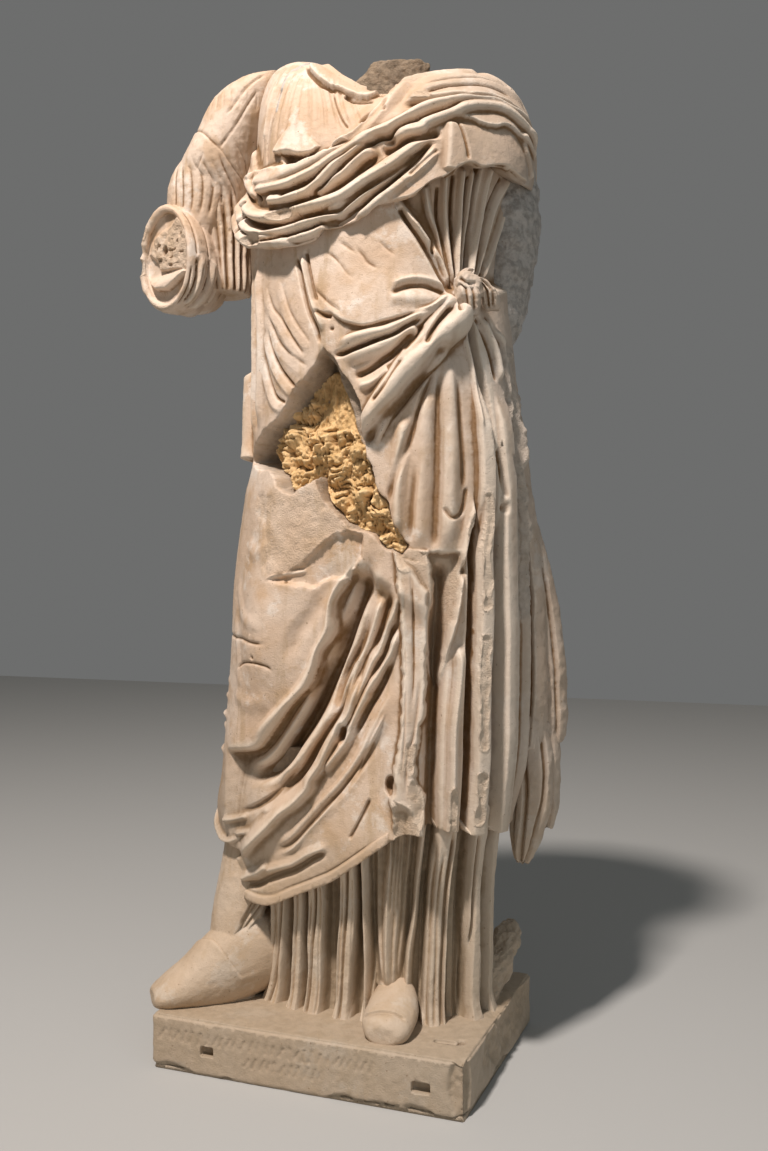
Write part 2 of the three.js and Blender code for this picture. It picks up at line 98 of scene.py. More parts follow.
def bare_form(degrees, mark):
    """Points of the bare form; above the rim its marks run in and down into the socket."""
    degrees, mark = np.broadcast_arrays(np.asarray(degrees, float), np.asarray(mark, float))
    turn = np.radians(degrees)
    across, ahead = np.sin(turn), np.cos(turn)
    height = np.minimum(mark, SHOULDER)
    side = np.where(across > 0, through(LEFT_SIDE, height), through(RIGHT_SIDE, height))
    deep = np.where(ahead > 0, through(FRONT, height), through(BACK, height))
    radius = (np.abs(across / side)**SQUARENESS + np.abs(ahead / deep)**SQUARENESS)**(-1 / SQUARENESS)
    for at, up, spread, tall, swell in SWELLINGS:
        away = (degrees - at + 180) % 360 - 180
        radius = radius + swell * np.exp(-(away / spread)**2 - ((height - up) / tall)**2)
    over = np.clip((mark - SHOULDER) / (RIM - SHOULDER), 0, 1)
    power = around(SHOULDER_POWER, degrees)
    rim, rim_up = around(RIM_RADIUS, degrees), around(RIM_HEIGHT, degrees)
    quarter = over * np.pi / 2
    radius = np.where(mark > SHOULDER, rim + (radius - rim) * np.maximum(np.cos(quarter), 0)**power, radius)
    height = np.where(mark > SHOULDER, SHOULDER + (rim_up - SHOULDER) * np.sin(quarter)**power, mark)
    down = np.clip((mark - RIM) / (SOCKET - RIM), 0, 1) * np.pi / 2
    radius = np.where(mark > RIM, (rim - LIP) * np.maximum(np.cos(down), 0)**.8, radius)
    lip = rim_up - LIP_DROP * np.minimum(down * 6, 1)
    sunk = lip - (rim_up - SOCKET_FLOOR - LIP_DROP) * np.sin(down)**.9
    height = np.where(mark > RIM, sunk, height)
    return np.stack([AXIS[0] + radius * across + NECK_LEAN[0] * over,
                     AXIS[1] - radius * ahead + NECK_LEAN[1] * over, height], -1)


# the mantle's two edges, and how fine its carving is laid out
MANTLE_HEM = [
    (-118, .395), (-102, .400), (-85, .345), (-72, .305), (-60, .288), (-45, .285), (-30, .308),
    (-15, .330), (0, .352), (15, .385), (28, .417), (34, .432), (40, .441), (52, .440), (66, .432),
    (80, .426), (100, .430), (130, .420), (180, .400), (242, .395)]
SLING_EDGE = [
    (-180, 1.56), (-120, 1.54), (-90, 1.525), (-62, 1.50), (-55, 1.465), (-45, 1.452), (-31, 1.437),
    (-25, 1.434), (-15, 1.438), (-8, 1.442), (-2, 1.455), (6, 1.462), (11, 1.463), (19, 1.472),
    (26, 1.490), (35, 1.497), (41, 1.504), (46, 1.525), (50, 1.535), (54, 1.540), (56.5, 1.555),
    (60, 1.561), (63, 1.557), (68, 1.563), (73, 1.567), (76.5, 1.561), (80, 1.557), (90, 1.56),
    (104, 1.575), (118, 1.59), (131, 1.60), (155, 1.58)]
STEP = 1
TURN = np.r_[np.arange(-86, 114, .29 * STEP), np.arange(114, 274, 1.3 * STEP)]
BAND, STITCHES, GIRTH = .46, .017, .27
BEND_STEPS = 6
WIDE_HOLLOW, FINE_HOLLOW = .0085, .0014
HEM_ROUNDING = np.array([0, 0, .003])
MARKS = ("hollow", "rough", "grey", "brown")


def outward(points):
    """Directions straight out of a grid of points that goes round."""
    normal = np.cross(np.roll(points, -1, 1) - np.roll(points, 1, 1), np.gradient(points, axis=0))
    return normal / (np.linalg.norm(normal, axis=-1, keepdims=True) + 1e-12)


def ease(t):
    """From 0 to 1 as t does, slow at both ends."""
    t = np.clip(t, 0, 1)
    return t * t * (3 - 2 * t)


LUMPS = 32
GRAIN = np.random.default_rng(7).random((LUMPS, LUMPS, LUMPS))


def unevenness(points, size, shift=0.0):
    """Soft random lumps of one size, between -1 and 1."""
    place = points / size + shift + 100
    corner = np.floor(place).astype(int)
    part = ease(place - corner)
    total = 0
    for i in (0, 1):
        for j in (0, 1):
            for k in (0, 1):
                step = np.array([i, j, k])
                near = np.abs(1 - step - part)
                lump = GRAIN[tuple(((corner + step) % LUMPS).T)].T
                total = total + near[..., 0] * near[..., 1] * near[..., 2] * lump
    return total * 2 - 1


def broken_stone(points, size, octaves=4, shift=0.0):
    """The rough face of broken stone: lumps on lumps."""
    return sum(unevenness(points, size / 2**k, shift + 3.7 * k) * .55**k for k in range(octaves))


def softened(field, passes):
    """A field evened out over its grid, which goes round."""
    for _ in range(passes):
        field = (2 * field + np.roll(field, 1, 1) + np.roll(field, -1, 1)) / 4
        field = np.vstack([field[:1], (2 * field[1:-1] + field[2:] + field[:-2]) / 4, field[-1:]])
    return field


def bend_through(points):
    """A curve through given points, as closely spaced points."""
    p = np.array(points, float)
    ends = np.vstack([2 * p[0] - p[1], p, 2 * p[-1] - p[-2]])
    t = np.linspace(0, 1, BEND_STEPS, endpoint=False)[:, None]
    spans = [.5 * (2 * b + (c - a) * t + (2 * a - 5 * b + 4 * c - d) * t**2 + (3 * b - a - 3 * c + d) * t**3)
             for a, b, c, d in zip(ends, ends[1:], ends[2:], ends[3:])]
    return np.vstack(spans + [p[-1:]])


def pairs(numbers):
    """A line's numbers, two by two."""
    return list(zip(numbers[::2], numbers[1::2]))


def beside(knots, places, above):
    """A line that keeps a little above an edge."""
    return [number for place in places for number in (place, float(through(knots, place)) + above)]


class Carving:
    """A form laid out as a fine grid, with what the chisel leaves standing and takes away at each place.
    Lines on it are given as degrees, mark, degrees, mark ...; widths, heights and depths in metres."""

    def __init__(self, form, degrees, marks, size):
        self.form, self.size = form, size
        if np.ndim(marks) == 1:
            degrees, marks = np.meshgrid(degrees, marks)
        self.degrees, self.marks = degrees + 0 * marks, marks
        self.place = form(self.degrees, self.marks)
        self.out = outward(self.place)
        self.out *= np.sign(((self.place - self.place.mean(1, keepdims=True)) * self.out).sum())
        drift = [unevenness(self.place, .07, 5.1 * k) for k in range(3)]
        self.drawn = self.place + .0022 * np.stack(drift, -1)
        self.ground, self.raised, self.sunk = (np.zeros(self.degrees.shape) for _ in range(3))
        self.limit = np.full(self.degrees.shape, 1.0)
        self.rough, self.grey, self.brown = (np.zeros(self.degrees.shape) for _ in range(3))

    def near(self, course, reach):
        """The part of the grid that a line's reach can touch."""
        low, high = course.min(0) - reach - .004, course.max(0) + reach + .004
        hit = ((self.place > low) & (self.place < high)).all(-1)
        rows, columns = np.flatnonzero(hit.any(1)), np.flatnonzero(hit.any(0))
        if not len(rows):
            return slice(0, 1), slice(0, 1)
        return slice(rows[0], rows[-1] + 1), slice(columns[0], columns[-1] + 1)

    def from_line(self, line, reach):
        """How far each near place lies from a line, on which side, and how far along."""
        course = bend_through(pairs(line))
        course = self.form(course[:, 0], course[:, 1])
        window = self.near(course, reach)
        place, out = self.drawn[window], self.out[window]
        best = np.full(place.shape[:2], 1e9)
        side, along = np.zeros(best.shape), np.zeros(best.shape)
        length = np.r_[0, np.cumsum(np.linalg.norm(np.diff(course, axis=0), axis=1))]
        length /= length[-1]
        for k in range(len(course) - 1):
            step = course[k + 1] - course[k]
            off = place - course[k]
            t = np.clip(off @ step / (step @ step + 1e-12), 0, 1)
            off = off - t[..., None] * step
            away = np.sqrt((off * off).sum(-1))
            closer = away < best
            best[closer] = away[closer]
            side[closer] = np.sign((np.cross(step, off[closer]) * out[closer]).sum(-1))
            along[closer] = (length[k] + t * (length[k + 1] - length[k]))[closer]
        return window, best, side, along

    def stroke(self, line, width, rise, lean, ends, section):
        """One stroke of the chisel along a line, leaning to one side and fading out at its ends."""
        window, away, side, along = self.from_line(line, width * (1 + abs(lean)))
        x = np.clip(away / (width * (1 + lean * side)), 0, 1)
        shape = {"round": 1 - x * x, "full": .5 * np.sqrt(1 - x * x) + .5 * (1 - x * x),
                 "soft": .5 + .5 * np.cos(np.pi * x), "sharp": (1 - x)**1.25, "flat": ease((1 - x) / .35),
                 "ridge": np.maximum((1.008 - np.sqrt(x * x + .016)) / .8815, 0)**1.45}[section]
        for end, here in zip(ends, (along, 1 - along)):
            if end > 0:
                shape = shape * ease(here / end + .001)
        return window, rise * shape * (x < 1)

    def fold(self, width, rise, *line, lean=0, ends=(.15, .15), section="ridge"):
        """A fold left standing; where folds meet, the higher one wins."""
        window, lift = self.stroke(line, width, rise, lean, ends, section)
        self.raised[window] = np.maximum(self.raised[window], lift)

    def furrow(self, width, depth, *line, ends=(.12, .12), section="round"):
        """A furrow cut in; where furrows meet, the deeper one wins."""
        window, lift = self.stroke(line, width, depth, 0, ends, section)
        self.sunk[window] = np.maximum(self.sunk[window], lift)

    def swell(self, width, rise, *line, ends=(.15, .15), section="soft"):
        """A swelling of the ground itself, added to what is there."""
        window, lift = self.stroke(line, width, rise, 0, ends, section)
        self.ground[window] += lift

    def edge(self, rise, reach, soft, *line, ends=(.1, .1)):
        """A turned edge: the ground to the left of the line stands proud, and dies away from it."""
        window, away, side, along = self.from_line(line, reach)
        step = rise * ease((away * side + soft) / (2 * soft))
        step = step * np.clip(1 - np.maximum(away * side, 0) / reach, 0, 1)**1.5
        for end, here in zip(ends, (along, 1 - along)):
            if end > 0:
                step = step * ease(here / end)
        self.ground[window] += step

    def spot(self, degrees, mark, wide, tall, power):
        """A round-edged spot: 1 in its middle, 0 at its rim."""
        middle = self.form(degrees, mark)
        window = self.near(middle[None], max(wide, tall))
        off = self.drawn[window] - middle
        across = (off[..., 0]**2 + off[..., 1]**2) / wide**2
        return window, np.clip(1 - across - (off[..., 2] / tall)**2, 0, 1)**power

    def pit(self, degrees, mark, wide, tall, depth, power=1.0):
        """A round-edged hole."""
        window, dip = self.spot(degrees, mark, wide, tall, power)
        self.sunk[window] = np.maximum(self.sunk[window], depth * dip)

    def knocked_off(self, width, level, *line):
        """A crest broken away along a line, down to a level."""
        window, away = self.from_line(line, 3 * width)[:2]
        place = self.place[window]
        ragged = away + width * (.5 * unevenness(place, .022) + .15 * unevenness(place, .006, 3.1))
        face = level + .9 * np.maximum(ragged - .5 * width, 0)
        self.limit[window] = np.minimum(self.limit[window], face)

    def within(self, *outline, soft=.003, jag=.0025):
        """1 inside a closed outline, 0 outside it, ragged and softened at its rim."""
        p = np.array(pairs(outline), float)
        x, px = np.radians(self.degrees) * self.size, np.radians(p[:, 0]) * self.size
        y, py = self.marks, p[:, 1]
        reach = soft + 2 * jag + .004
        rows = np.flatnonzero(((y > py.min() - reach) & (y < py.max() + reach)).any(1))
        columns = np.flatnonzero(((x > px.min() - reach) & (x < px.max() + reach)).any(0))
        window = slice(rows[0], rows[-1] + 1), slice(columns[0], columns[-1] + 1)
        x, y = x[window], y[window]
        inside, away = np.zeros(x.shape, bool), np.full(x.shape, 1e9)
        for k in range(len(p)):
            x0, y0, run, climb = px[k - 1], py[k - 1], px[k] - px[k - 1], py[k] - py[k - 1]
            inside ^= ((y0 > y) != (py[k] > y)) & (x < run * (y - y0) / (climb + 1e-12) + x0)
            t = np.clip(((x - x0) * run + (y - y0) * climb) / (run**2 + climb**2 + 1e-12), 0, 1)
            away = np.minimum(away, np.hypot(x - x0 - t * run, y - y0 - t * climb))
        away = np.where(inside, away, -away) + jag * broken_stone(self.place[window], .014, 3)
        mask = np.zeros(self.degrees.shape)
        mask[window] = ease(.5 + away / (2 * soft))
        return mask

    def finish(self, wear=.0004):
        """Everything carved, as height over the bare form: broken faces are rough, the rest is weathered."""
        face = broken_stone(self.place, .030) + .35 * broken_stone(self.place, .006, 2, 9.1)
        lift = softened(self.ground + self.raised - self.sunk, 1)
        lift = np.minimum(lift, self.limit + .0009 * face)
        self.rough = np.maximum(self.rough, ease((lift - self.limit + .0035) / .003))
        lift = lift + self.rough * .0008 * face
        lift = lift + wear * broken_stone(self.place, .010, 2) + 2 * wear * unevenness(self.place, .045)
        self.lift = lift
        wide = softened(lift[::3, ::3], 16)
        wide = np.repeat(np.repeat(wide, 3, 0), 3, 1)[:lift.shape[0], :lift.shape[1]]
        wide = (softened(wide, 3) - lift) / WIDE_HOLLOW
        fine = (softened(lift, 6) - lift) / FINE_HOLLOW
        self.hollow = np.clip(.7 * wide + .6 * fine, -1, 1)
        self.carved = self.place + self.out * lift[..., None]


def mark_finish(mesh, marks):
    """Notes at each point how hollow, rough, grey and brown the stone is, for its material to read; the
    hollow and brown marks also carry painted shade.
    """
    for name, field in marks.items():
        layer = mesh.attributes.new(name, "FLOAT", "POINT")
        layer.data.foreach_set("value", field.astype(np.float32))


def less_behind(carving, share):
    """How much of the dirt and painted shade in the hollows there is: less by a share on the plain back."""
    return 1 - share * ease((carving.degrees - 106) / 16) * ease((276 - carving.degrees) / 12)


def stone_block(name, carving, grid, under=None):
    """A closed mesh from a grid that goes round, closed with a point at each end, with its finish marks."""
    rows, turns = grid.shape[:2]
    ends = [grid[0].mean(0) if under is None else under, grid[-1].mean(0)]
    points = np.vstack([grid.reshape(-1, 3), ends])
    i, j = np.meshgrid(np.arange(rows - 1), np.arange(turns), indexing="ij")
    k = (j + 1) % turns
    here, next_up = i * turns, (i + 1) * turns
    quads = np.stack([here + j, here + k, next_up + k, next_up + j], -1).reshape(-1, 4)
    ring, last = np.arange(turns), (rows - 1) * turns
    turn_on = (ring + 1) % turns
    caps = np.vstack([np.stack([np.full(turns, rows * turns), turn_on, ring], -1),
                      np.stack([np.full(turns, rows * turns + 1), last + ring, last + turn_on], -1)])
    mesh = bpy.data.meshes.new(name)
    mesh.vertices.add(len(points))
    mesh.vertices.foreach_set("co", points.ravel())
    mesh.loops.add(quads.size + caps.size)
    mesh.loops.foreach_set("vertex_index", np.concatenate([quads.ravel(), caps.ravel()]))
    mesh.polygons.add(len(quads) + len(caps))
    mesh.polygons.foreach_set("loop_start", np.concatenate([np.arange(len(quads)) * 4,
                                                            quads.size + np.arange(len(caps)) * 3]))
    mesh.update(calc_edges=True)
    normal_out = np.cross(grid[:-1] - grid[1:], np.roll(grid, -1, 1)[:-1] - grid[:-1])
    if ((grid[:-1] - grid[:-1].mean(1, keepdims=True)) * normal_out).sum() < 0:
        mesh.flip_normals()
    marks = {}
    for mark in MARKS:
        field = getattr(carving, mark)
        spare = np.repeat(field[:1], rows - len(field), 0)
        marks[mark] = np.r_[np.vstack([spare, field]).ravel(), 0, 0]
    mark_finish(mesh, marks)
    block = bpy.data.objects.new(name, mesh)
    bpy.context.collection.objects.link(block)
    return block


def modify(piece, kind, **settings):
    """Changes a piece's mesh by one modifier, applied at once."""
    bpy.context.view_layer.objects.active = piece
    change = piece.modifiers.new(kind, kind)
    for key, value in settings.items():
        setattr(change, key, value)
    bpy.ops.object.modifier_apply(modifier=change.name)


def pare(piece, faces):
    """Thins a piece's mesh where it is smooth, keeping every edge."""
    bpy.ops.object.select_all(action="DESELECT")
    bpy.context.view_layer.objects.active = piece
    piece.select_set(True)
    triangles = len(piece.data.loops) - 2 * len(piece.data.polygons)
    if triangles > faces:
        modify(piece, "DECIMATE", ratio=faces / triangles)
    bpy.ops.object.mode_set(mode="EDIT")
    bpy.ops.mesh.select_all(action="SELECT")
    bpy.ops.mesh.dissolve_degenerate(threshold=.00001)
    bpy.ops.object.mode_set(mode="OBJECT")
    bpy.ops.object.shade_smooth()


hem, sling = around(MANTLE_HEM, TURN), around(SLING_EDGE, TURN)
low = np.linspace(0, 1, 110 // STEP)[:, None]
tall = np.linspace(0, 1, 600 // STEP)[1:, None]
marks = np.vstack([hem + low * (BAND - hem), BAND + tall * (sling + .02 - BAND)])
mantle = Carving(bare_form, TURN, marks, GIRTH)
up = mantle.marks - hem
flare = .016 * np.clip(1 - up / .14, 0, 1)**2
mantle.ground += flare * ease((mantle.degrees + 75) / 15) * (mantle.degrees < 45)
mantle.ground += .003 * ease((.018 - up) / .003) * (mantle.degrees < 30)

# strained cloth from the left hip down across the bent right leg
mantle.edge(-.040, .26, .008, 14.5, .895, 8, .86, 1.5, .828, 0, .80, -.5, .772, -6.5, .74, -9, .71,
            -12.5, .68, -18, .658, -24, .635, -29, .61, -35, .583, -41, .562, -50, .553, -60, .55,
            ends=(.08, .08))
mantle.fold(.016, .010, 15.5, .895, 9, .862, 2.5, .83, .5, .80, -2, .77, -7.5, .737, -12, .70, -19, .662,
            -30, .622, -42, .575, section="soft")
for width, depth, *line in (
        (.022, .006, 3.5, .89, -1, .86, -8, .815, -15.5, .778, -20, .74, -24, .715),
        (.021, .040, 24, .92, 19, .87, 16, .85, 8, .79, 2, .742, -5, .69, -11, .645, -17, .61,
         -24.5, .575, -31, .54, -40, .515, -52, .50),
        (.015, .018, 24, .835, 16, .757, 8, .715, 3, .672, 0, .63, -6.5, .60, -13, .567, -19.5, .53,
         -28, .50, -40, .475),
        (.010, .010, -8, .585, -17, .555, -25, .522, -33, .485, -43, .455, -54, .44),
        (.011, .014, 31, .84, 29, .82, 26, .78, 21, .74),
        (.011, .012, 32.5, .80, 30, .76, 27, .735, 19, .69),
        (.011, .012, 31, .73, 25, .68, 17.5, .64, 10, .595),
        (.013, .014, 27, .61, 19, .565, 12, .535, 3, .497, -5, .470, -15, .436, -26, .40, -38, .375)):
    mantle.furrow(width, depth, *line, section="soft", ends=(.25, .25))
for width, rise, lean, *line in (
        (.020, .016, -.3, 18, .885, 11, .825, 4, .765, -3, .715, -10, .668, -18, .625, -27, .585,
         -38, .545, -50, .525),
        (.018, .019, -.3, 16.5, .745, 11, .70, 5.5, .67, 1, .64, -6, .608, -14, .575, -22, .54, -33, .505),
        (.022, .026, -.3, 19, .725, 15, .69, 11, .655, 8, .63, 3, .613, 1.5, .603, -2.5, .578, -7.5, .545,
         -12.5, .52, -14.5, .50, -19, .482, -24, .467, -30, .452, -38, .42, -48, .385, -58, .356),
        (.016, .016, -.2, 22.5, .68, 18, .66, 12, .625, 7.5, .593, 3.5, .572, -2, .55, -8, .525),
        (.015, .018, -.2, 26, .84, 21, .775, 15, .73, 12, .70, 9, .665, 6, .64),
        (.016, .019, -.2, 35, .86, 32, .81, 29, .78, 25, .74, 22, .725, 16, .68, 11, .645, 7, .62),
        (.016, .018, -.2, 34, .785, 29.5, .735, 25.5, .71, 18.5, .67, 12.5, .632, 8, .603, 4, .585),
        (.020, .010, .3, 33, .69, 26.5, .645, 19.5, .598, 13, .553, 5, .515, -4.5, .478, -15, .443,
         -24.5, .412, -34, .393),
        (.008, .011, 0, 31, .67, 26.5, .628, 19.5, .58, 13, .536, 5, .499, -4.5, .462, -15, .427,
         -24.5, .396, -36, .373),
        (.014, .011, 0, -40, .36, -46, .345, -52, .335, -60, .32),
        (.010, .009, 0, -60, .425, -53, .43, -46, .44),
        (.010, .009, 0, -30, .452, -38, .43, -46, .412, -56, .40),
        (.012, .009, 0, -14, .515, -22, .487, -30, .47, -40, .445)):
    mantle.fold(width, rise, *line, lean=lean)
mantle.furrow(.004, .007, 20.5, .493, 17.5, .47, 13.5, .443, 9.5, .42)
mantle.furrow(.010, .012, -3, .395, -7.5, .388, -15.5, .375, -26, .3555, -33, .345, -43, .33, -51, .316,
              -60, .312, section="soft")
mantle.fold(.012, .008, -2, .412, -6, .402, -16, .388, -27, .368, -36, .356, -46, .342)
mantle.pit(4, .600, .011, .022, .016, 1.5)
mantle.furrow(.003, .003, *beside(MANTLE_HEM, range(-85, 28, 14), STITCHES))
mantle.fold(.008, .014, -104, .50, -92, .445, -80, .41, -68, .392, -60, .388, -52, .397, -46, .404,
            ends=(.1, .3))
mantle.furrow(.010, .014, -100, .425, -84, .392, -68, .368, -54, .366)
mantle.furrow(.0035, .004, -52, .70, -46, .712, -37, .716, -30.5, .712, -27, .702)
mantle.furrow(.004, .0035, -80, .762, -60, .757, -47, .755, -37, .752, -28, .752)
mantle.pit(-37, .725, .005, .005, .004)
for mark, rise in ((.675, .003), (.645, .005), (.610, .009), (.590, .005), (.545, .007)):
    mantle.fold(.009, rise, -104, mark + .012, -86, mark + .004, -70, mark, -60, mark - .001, ends=(.1, .4))
mantle.fold(.006, .005, -31, .862, -26, .868, -18, .874, -12, .878, section="soft")
mantle.pit(-22, .857, .005, .003, .004)
for line in (
        (-58, .86, -48, .80, -30, .78), (-55, .66, -44, .64, -30, .655), (-48, .93, -40, .91, -30, .92),
        (-60, .80, -52, .72, -50, .66)):
    mantle.swell(.020, .003, *line)

# upright pleats under the knot, cut free of each other; their crests are knocked off in long stretches
pleated = mantle.within(32, .91, 45, .907, 48.5, .855, 46, .80, 45, .73, 45, .67, 44.8, .64, 42.8, .617,
                        41.5, .575, 41, .543, 41, .528, 43, .51, 45.5, .497, 45.5, .478, 45, .38, 33, .38,
                        33, .45, 31, .50, 33, .55, 35, .60, 35.5, .67, 35.5, .75, 34.5, .82, 33, .87,
                        soft=.005)
mantle.ground += .024 * pleated
mantle.swell(.030, .010, 33, .86, 34, .76, 34, .66, 33, .56, 32, .47)
for width, depth, *line in (
        (.004, .005, 39, .88, 40, .80, 40, .72, 39.5, .64),
        (.003, .004, 36.5, .78, 37, .68, 37, .60, 36, .52),
        (.004, .005, 42.5, .70, 41, .62, 38, .56, 37.5, .50)):
    mantle.furrow(width, depth, *line, section="soft", ends=(.2, .2))
mantle.furrow(.021, .034, 50, .895, 50.5, .83, 49.5, .78, 49, .72, 48, .64, 47, .54, 48.5, .40,
              section="soft", ends=(.06, 0))
for width, depth, taper, *line in (
        (.008, .010, .35, 49.5, 1.228, 45.5, 1.19, 42, 1.148, 40, 1.115, 37.5, 1.09),
        (.009, .007, .35, 50.5, 1.22, 49.3, 1.16, 49, 1.115, 48.8, 1.07),
        (.011, .009, .3, 43, 1.16, 41, 1.13, 39, 1.105, 35, 1.065, 31, 1.02, 29, .985),
        (.010, .006, .4, 41.5, 1.08, 40.5, 1.04, 39.3, .99, 38.5, .92),
        (.013, .008, .25, 49.3, 1.17, 49, 1.13, 49, 1.06, 48.7, .99, 48.5, .95, 48, .905),
        (.010, .008, .4, 56, 1.24, 57.5, 1.14, 58.3, 1.06, 58, 1.0)):
    mantle.furrow(width, depth, *line, section="soft", ends=(taper, .5 * taper))
for width, rise, *line in (
        (.022, .008, 46, 1.19, 44, 1.10, 43, 1.02, 42, .90),
        (.018, .013, 37, 1.14, 34.5, 1.07, 33, 1.0, 33, .93),
        (.026, .013, 54, 1.25, 54, 1.10, 53.5, 1.02, 53, .90),
        (.007, .008, 61, 1.275, 63.5, 1.21, 64, 1.155, 64.5, 1.11)):
    mantle.swell(width, rise, *line)
mantle.furrow(.005, .006, 51, .985, 52, .975, 54, .965, 57, .972, 58.5, .99, 59.5, 1.02)
mantle.fold(.012, .018, 63, 1.01, 61.5, .965, 59.5, .915, 58, .875, 56.5, .82, 54, .77, 52, .74, 50, .69,
            49.8, .675, lean=-.3, ends=(.15, .1))
mantle.furrow(.006, .010, 61.5, .955, 60, .905, 58, .86)
mantle.furrow(.009, .028, 63.5, 1.02, 63.5, .96, 62.6, .91, 62.3, .85, 61.5, .77, 61, .70, 61, .55,
              61, .40, ends=(.12, 0), section="full")
mantle.swell(.016, .020, 66, 1.20, 66.3, 1.10, 66, .96, 65.6, .80, 65.3, .65, 65.2, .50, 65.4, .40,
             section="flat", ends=(.12, 0))
mantle.fold(.016, .020, 56.5, .76, 57, .72, 56.5, .68, 55.3, .625, 54.8, .575, 55, .51, 55.5, .40,
            lean=.3, ends=(.1, 0))
mantle.furrow(.008, .062, 61, 1.335, 62, 1.32, 64, 1.295, 65, 1.255, 67, 1.212, 69, 1.16, 70, 1.115,
              70.5, 1.0, 71.5, .90, 71.8, .80, 72.5, .74, ends=(.04, 0), section="full")
mantle.furrow(.013, .075, 70.7, 1.0, 71.5, .90, 71.9, .80, 72.6, .72, 73, .60, 74, .40, ends=(.25, 0),
              section="full")
mantle.swell(.020, .012, 76.5, 1.19, 77, 1.10, 77.5, .95, 78.5, .80, 79, .60, 79, .40, section="flat",
             ends=(.1, 0))
for width, depth, *line in (
        (.006, .010, 65.5, 1.317, 68, 1.297, 71, 1.267, 73, 1.243, 75, 1.20),
        (.006, .010, 71, 1.318, 74, 1.292, 79, 1.265, 82, 1.23), (.005, .010, 72.5, 1.09, 75, 1.0),
        (.006, .008, 79, 1.08, 80, 1.06, 82, 1.03), (.006, .009, 82, .86, 84.5, .77),
        (.008, .014, 97, 1.25, 98, 1.0, 98, .75, 98, .42), (.006, .010, 84, 1.26, 86, 1.14, 88, 1.02)):
    mantle.furrow(width, depth, *line)
for width, rise, *line in (
        (.010, .012, 68, 1.31, 71, 1.285, 75, 1.25, 77, 1.20),
        (.010, .010, 76, 1.30, 81, 1.265, 84, 1.22, 85, 1.12),
        (.018, .014, 89, 1.26, 91, 1.12, 92, .98, 92, .84, 92, .7, 92, .42)):
    mantle.fold(width, rise, *line, section="full")
mantle.pit(74.5, .985, .006, .012, .012)
mantle.pit(86, 1.10, .03, .05, .010, 1)

# upper edge twisted into thick rolls, from the left hip down across the belly
mantle.edge(.009, .10, .0018, -8, 1.325, -5, 1.318, 0, 1.316, 4, 1.306, 8, 1.298, 15.5, 1.290, 20, 1.29,
            28, 1.297, 34, 1.303, 42, 1.313, 47, 1.318, 54, 1.34, ends=(.25, .15))
for width, rise, lean, section, *line in (
        (.026, .038, .2, "full", 61, 1.335, 57, 1.300, 51, 1.274, 45, 1.243, 39, 1.222, 32, 1.190, 26,
         1.158, 19, 1.113, 16, 1.085),
        (.017, .022, .2, "round", 57, 1.345, 53, 1.322, 48, 1.295, 45, 1.27, 41, 1.25, 35, 1.222, 28,
         1.187, 21, 1.16),
        (.013, .016, .3, "round", 55, 1.345, 49, 1.32, 43, 1.308, 37, 1.295, 31, 1.285, 26, 1.279, 20,
         1.276, 10, 1.268, 3, 1.256),
        (.014, .012, .3, "round", 42, 1.288, 33, 1.270, 24, 1.252, 14, 1.243, 6, 1.233),
        (.012, .010, 0, "soft", 30, 1.215, 22, 1.195, 14, 1.188)):
    mantle.fold(width, rise, *line, lean=lean, section=section, ends=(.07, .2))
for width, depth, *line in (
        (.008, .018, 1, 1.243, 8, 1.247, 15, 1.253, 22, 1.262, 31, 1.272, 37, 1.287, 44, 1.303),
        (.010, .013, 12, 1.205, 20, 1.215, 26, 1.228, 31, 1.24, 36.5, 1.262, 41, 1.278),
        (.005, .010, 36, 1.243, 41, 1.265, 44, 1.29),
        (.006, .012, 36, 1.23, 32, 1.208, 28, 1.18, 23, 1.155),
        (.005, .012, 58.5, 1.335, 57, 1.32, 56.6, 1.307),
        (.007, .017, 54.5, 1.32, 51, 1.302, 48, 1.28, 46, 1.262, 44.5, 1.248),
        (.016, .018, 17, 1.085, 26, 1.125, 34, 1.158, 39, 1.184, 43, 1.20, 48, 1.23, 54, 1.262),
        (.008, .009, 30, 1.340, 34, 1.350, 39, 1.356, 45, 1.356, 50, 1.348, 54, 1.34),
        (.006, .010, -8, 1.322, -4, 1.313, 1, 1.309)):
    mantle.furrow(width, depth, *line, section="soft")
mantle.fold(.007, .006, 30, 1.357, 36, 1.367, 43, 1.371, 50, 1.364, 55, 1.352)
mantle.swell(.018, .006, 28, 1.335, 38, 1.335, 48, 1.335, 55, 1.335)
mantle.pit(1, 1.288, .005, .004, .005)

# gown strained over the belly, with shallow pulls, and fine slanting folds down the right flank
for width, depth, *line in (
        (.005, .004, -6, 1.425, -1, 1.418, 5, 1.398, 9, 1.38, 15, 1.366),
        (.005, .0035, -13.5, 1.378, -11, 1.366, -6, 1.349, -1, 1.333, 5, 1.317, 10, 1.30),
        (.006, .0035, 12, 1.43, 17, 1.41, 20, 1.396, 27, 1.383),
        (.005, .003, 24, 1.437, 29, 1.42, 34, 1.405), (.006, .003, 3, 1.44, 8, 1.43, 15, 1.41)):
    mantle.furrow(width, depth, *line, section="soft", ends=(.3, .4))
mantle.fold(.009, .011, -18, 1.425, -15, 1.395, -12, 1.363, -9.5, 1.333, -5.5, 1.302, -4, 1.28, lean=.3)
mantle.furrow(.005, .008, -16, 1.43, -13, 1.395, -10, 1.36, -7.5, 1.335)
mantle.furrow(.006, .014, -22, 1.425, -18.5, 1.39, -15.5, 1.355, -12, 1.32, -8, 1.29, -6, 1.262,
              section="soft")
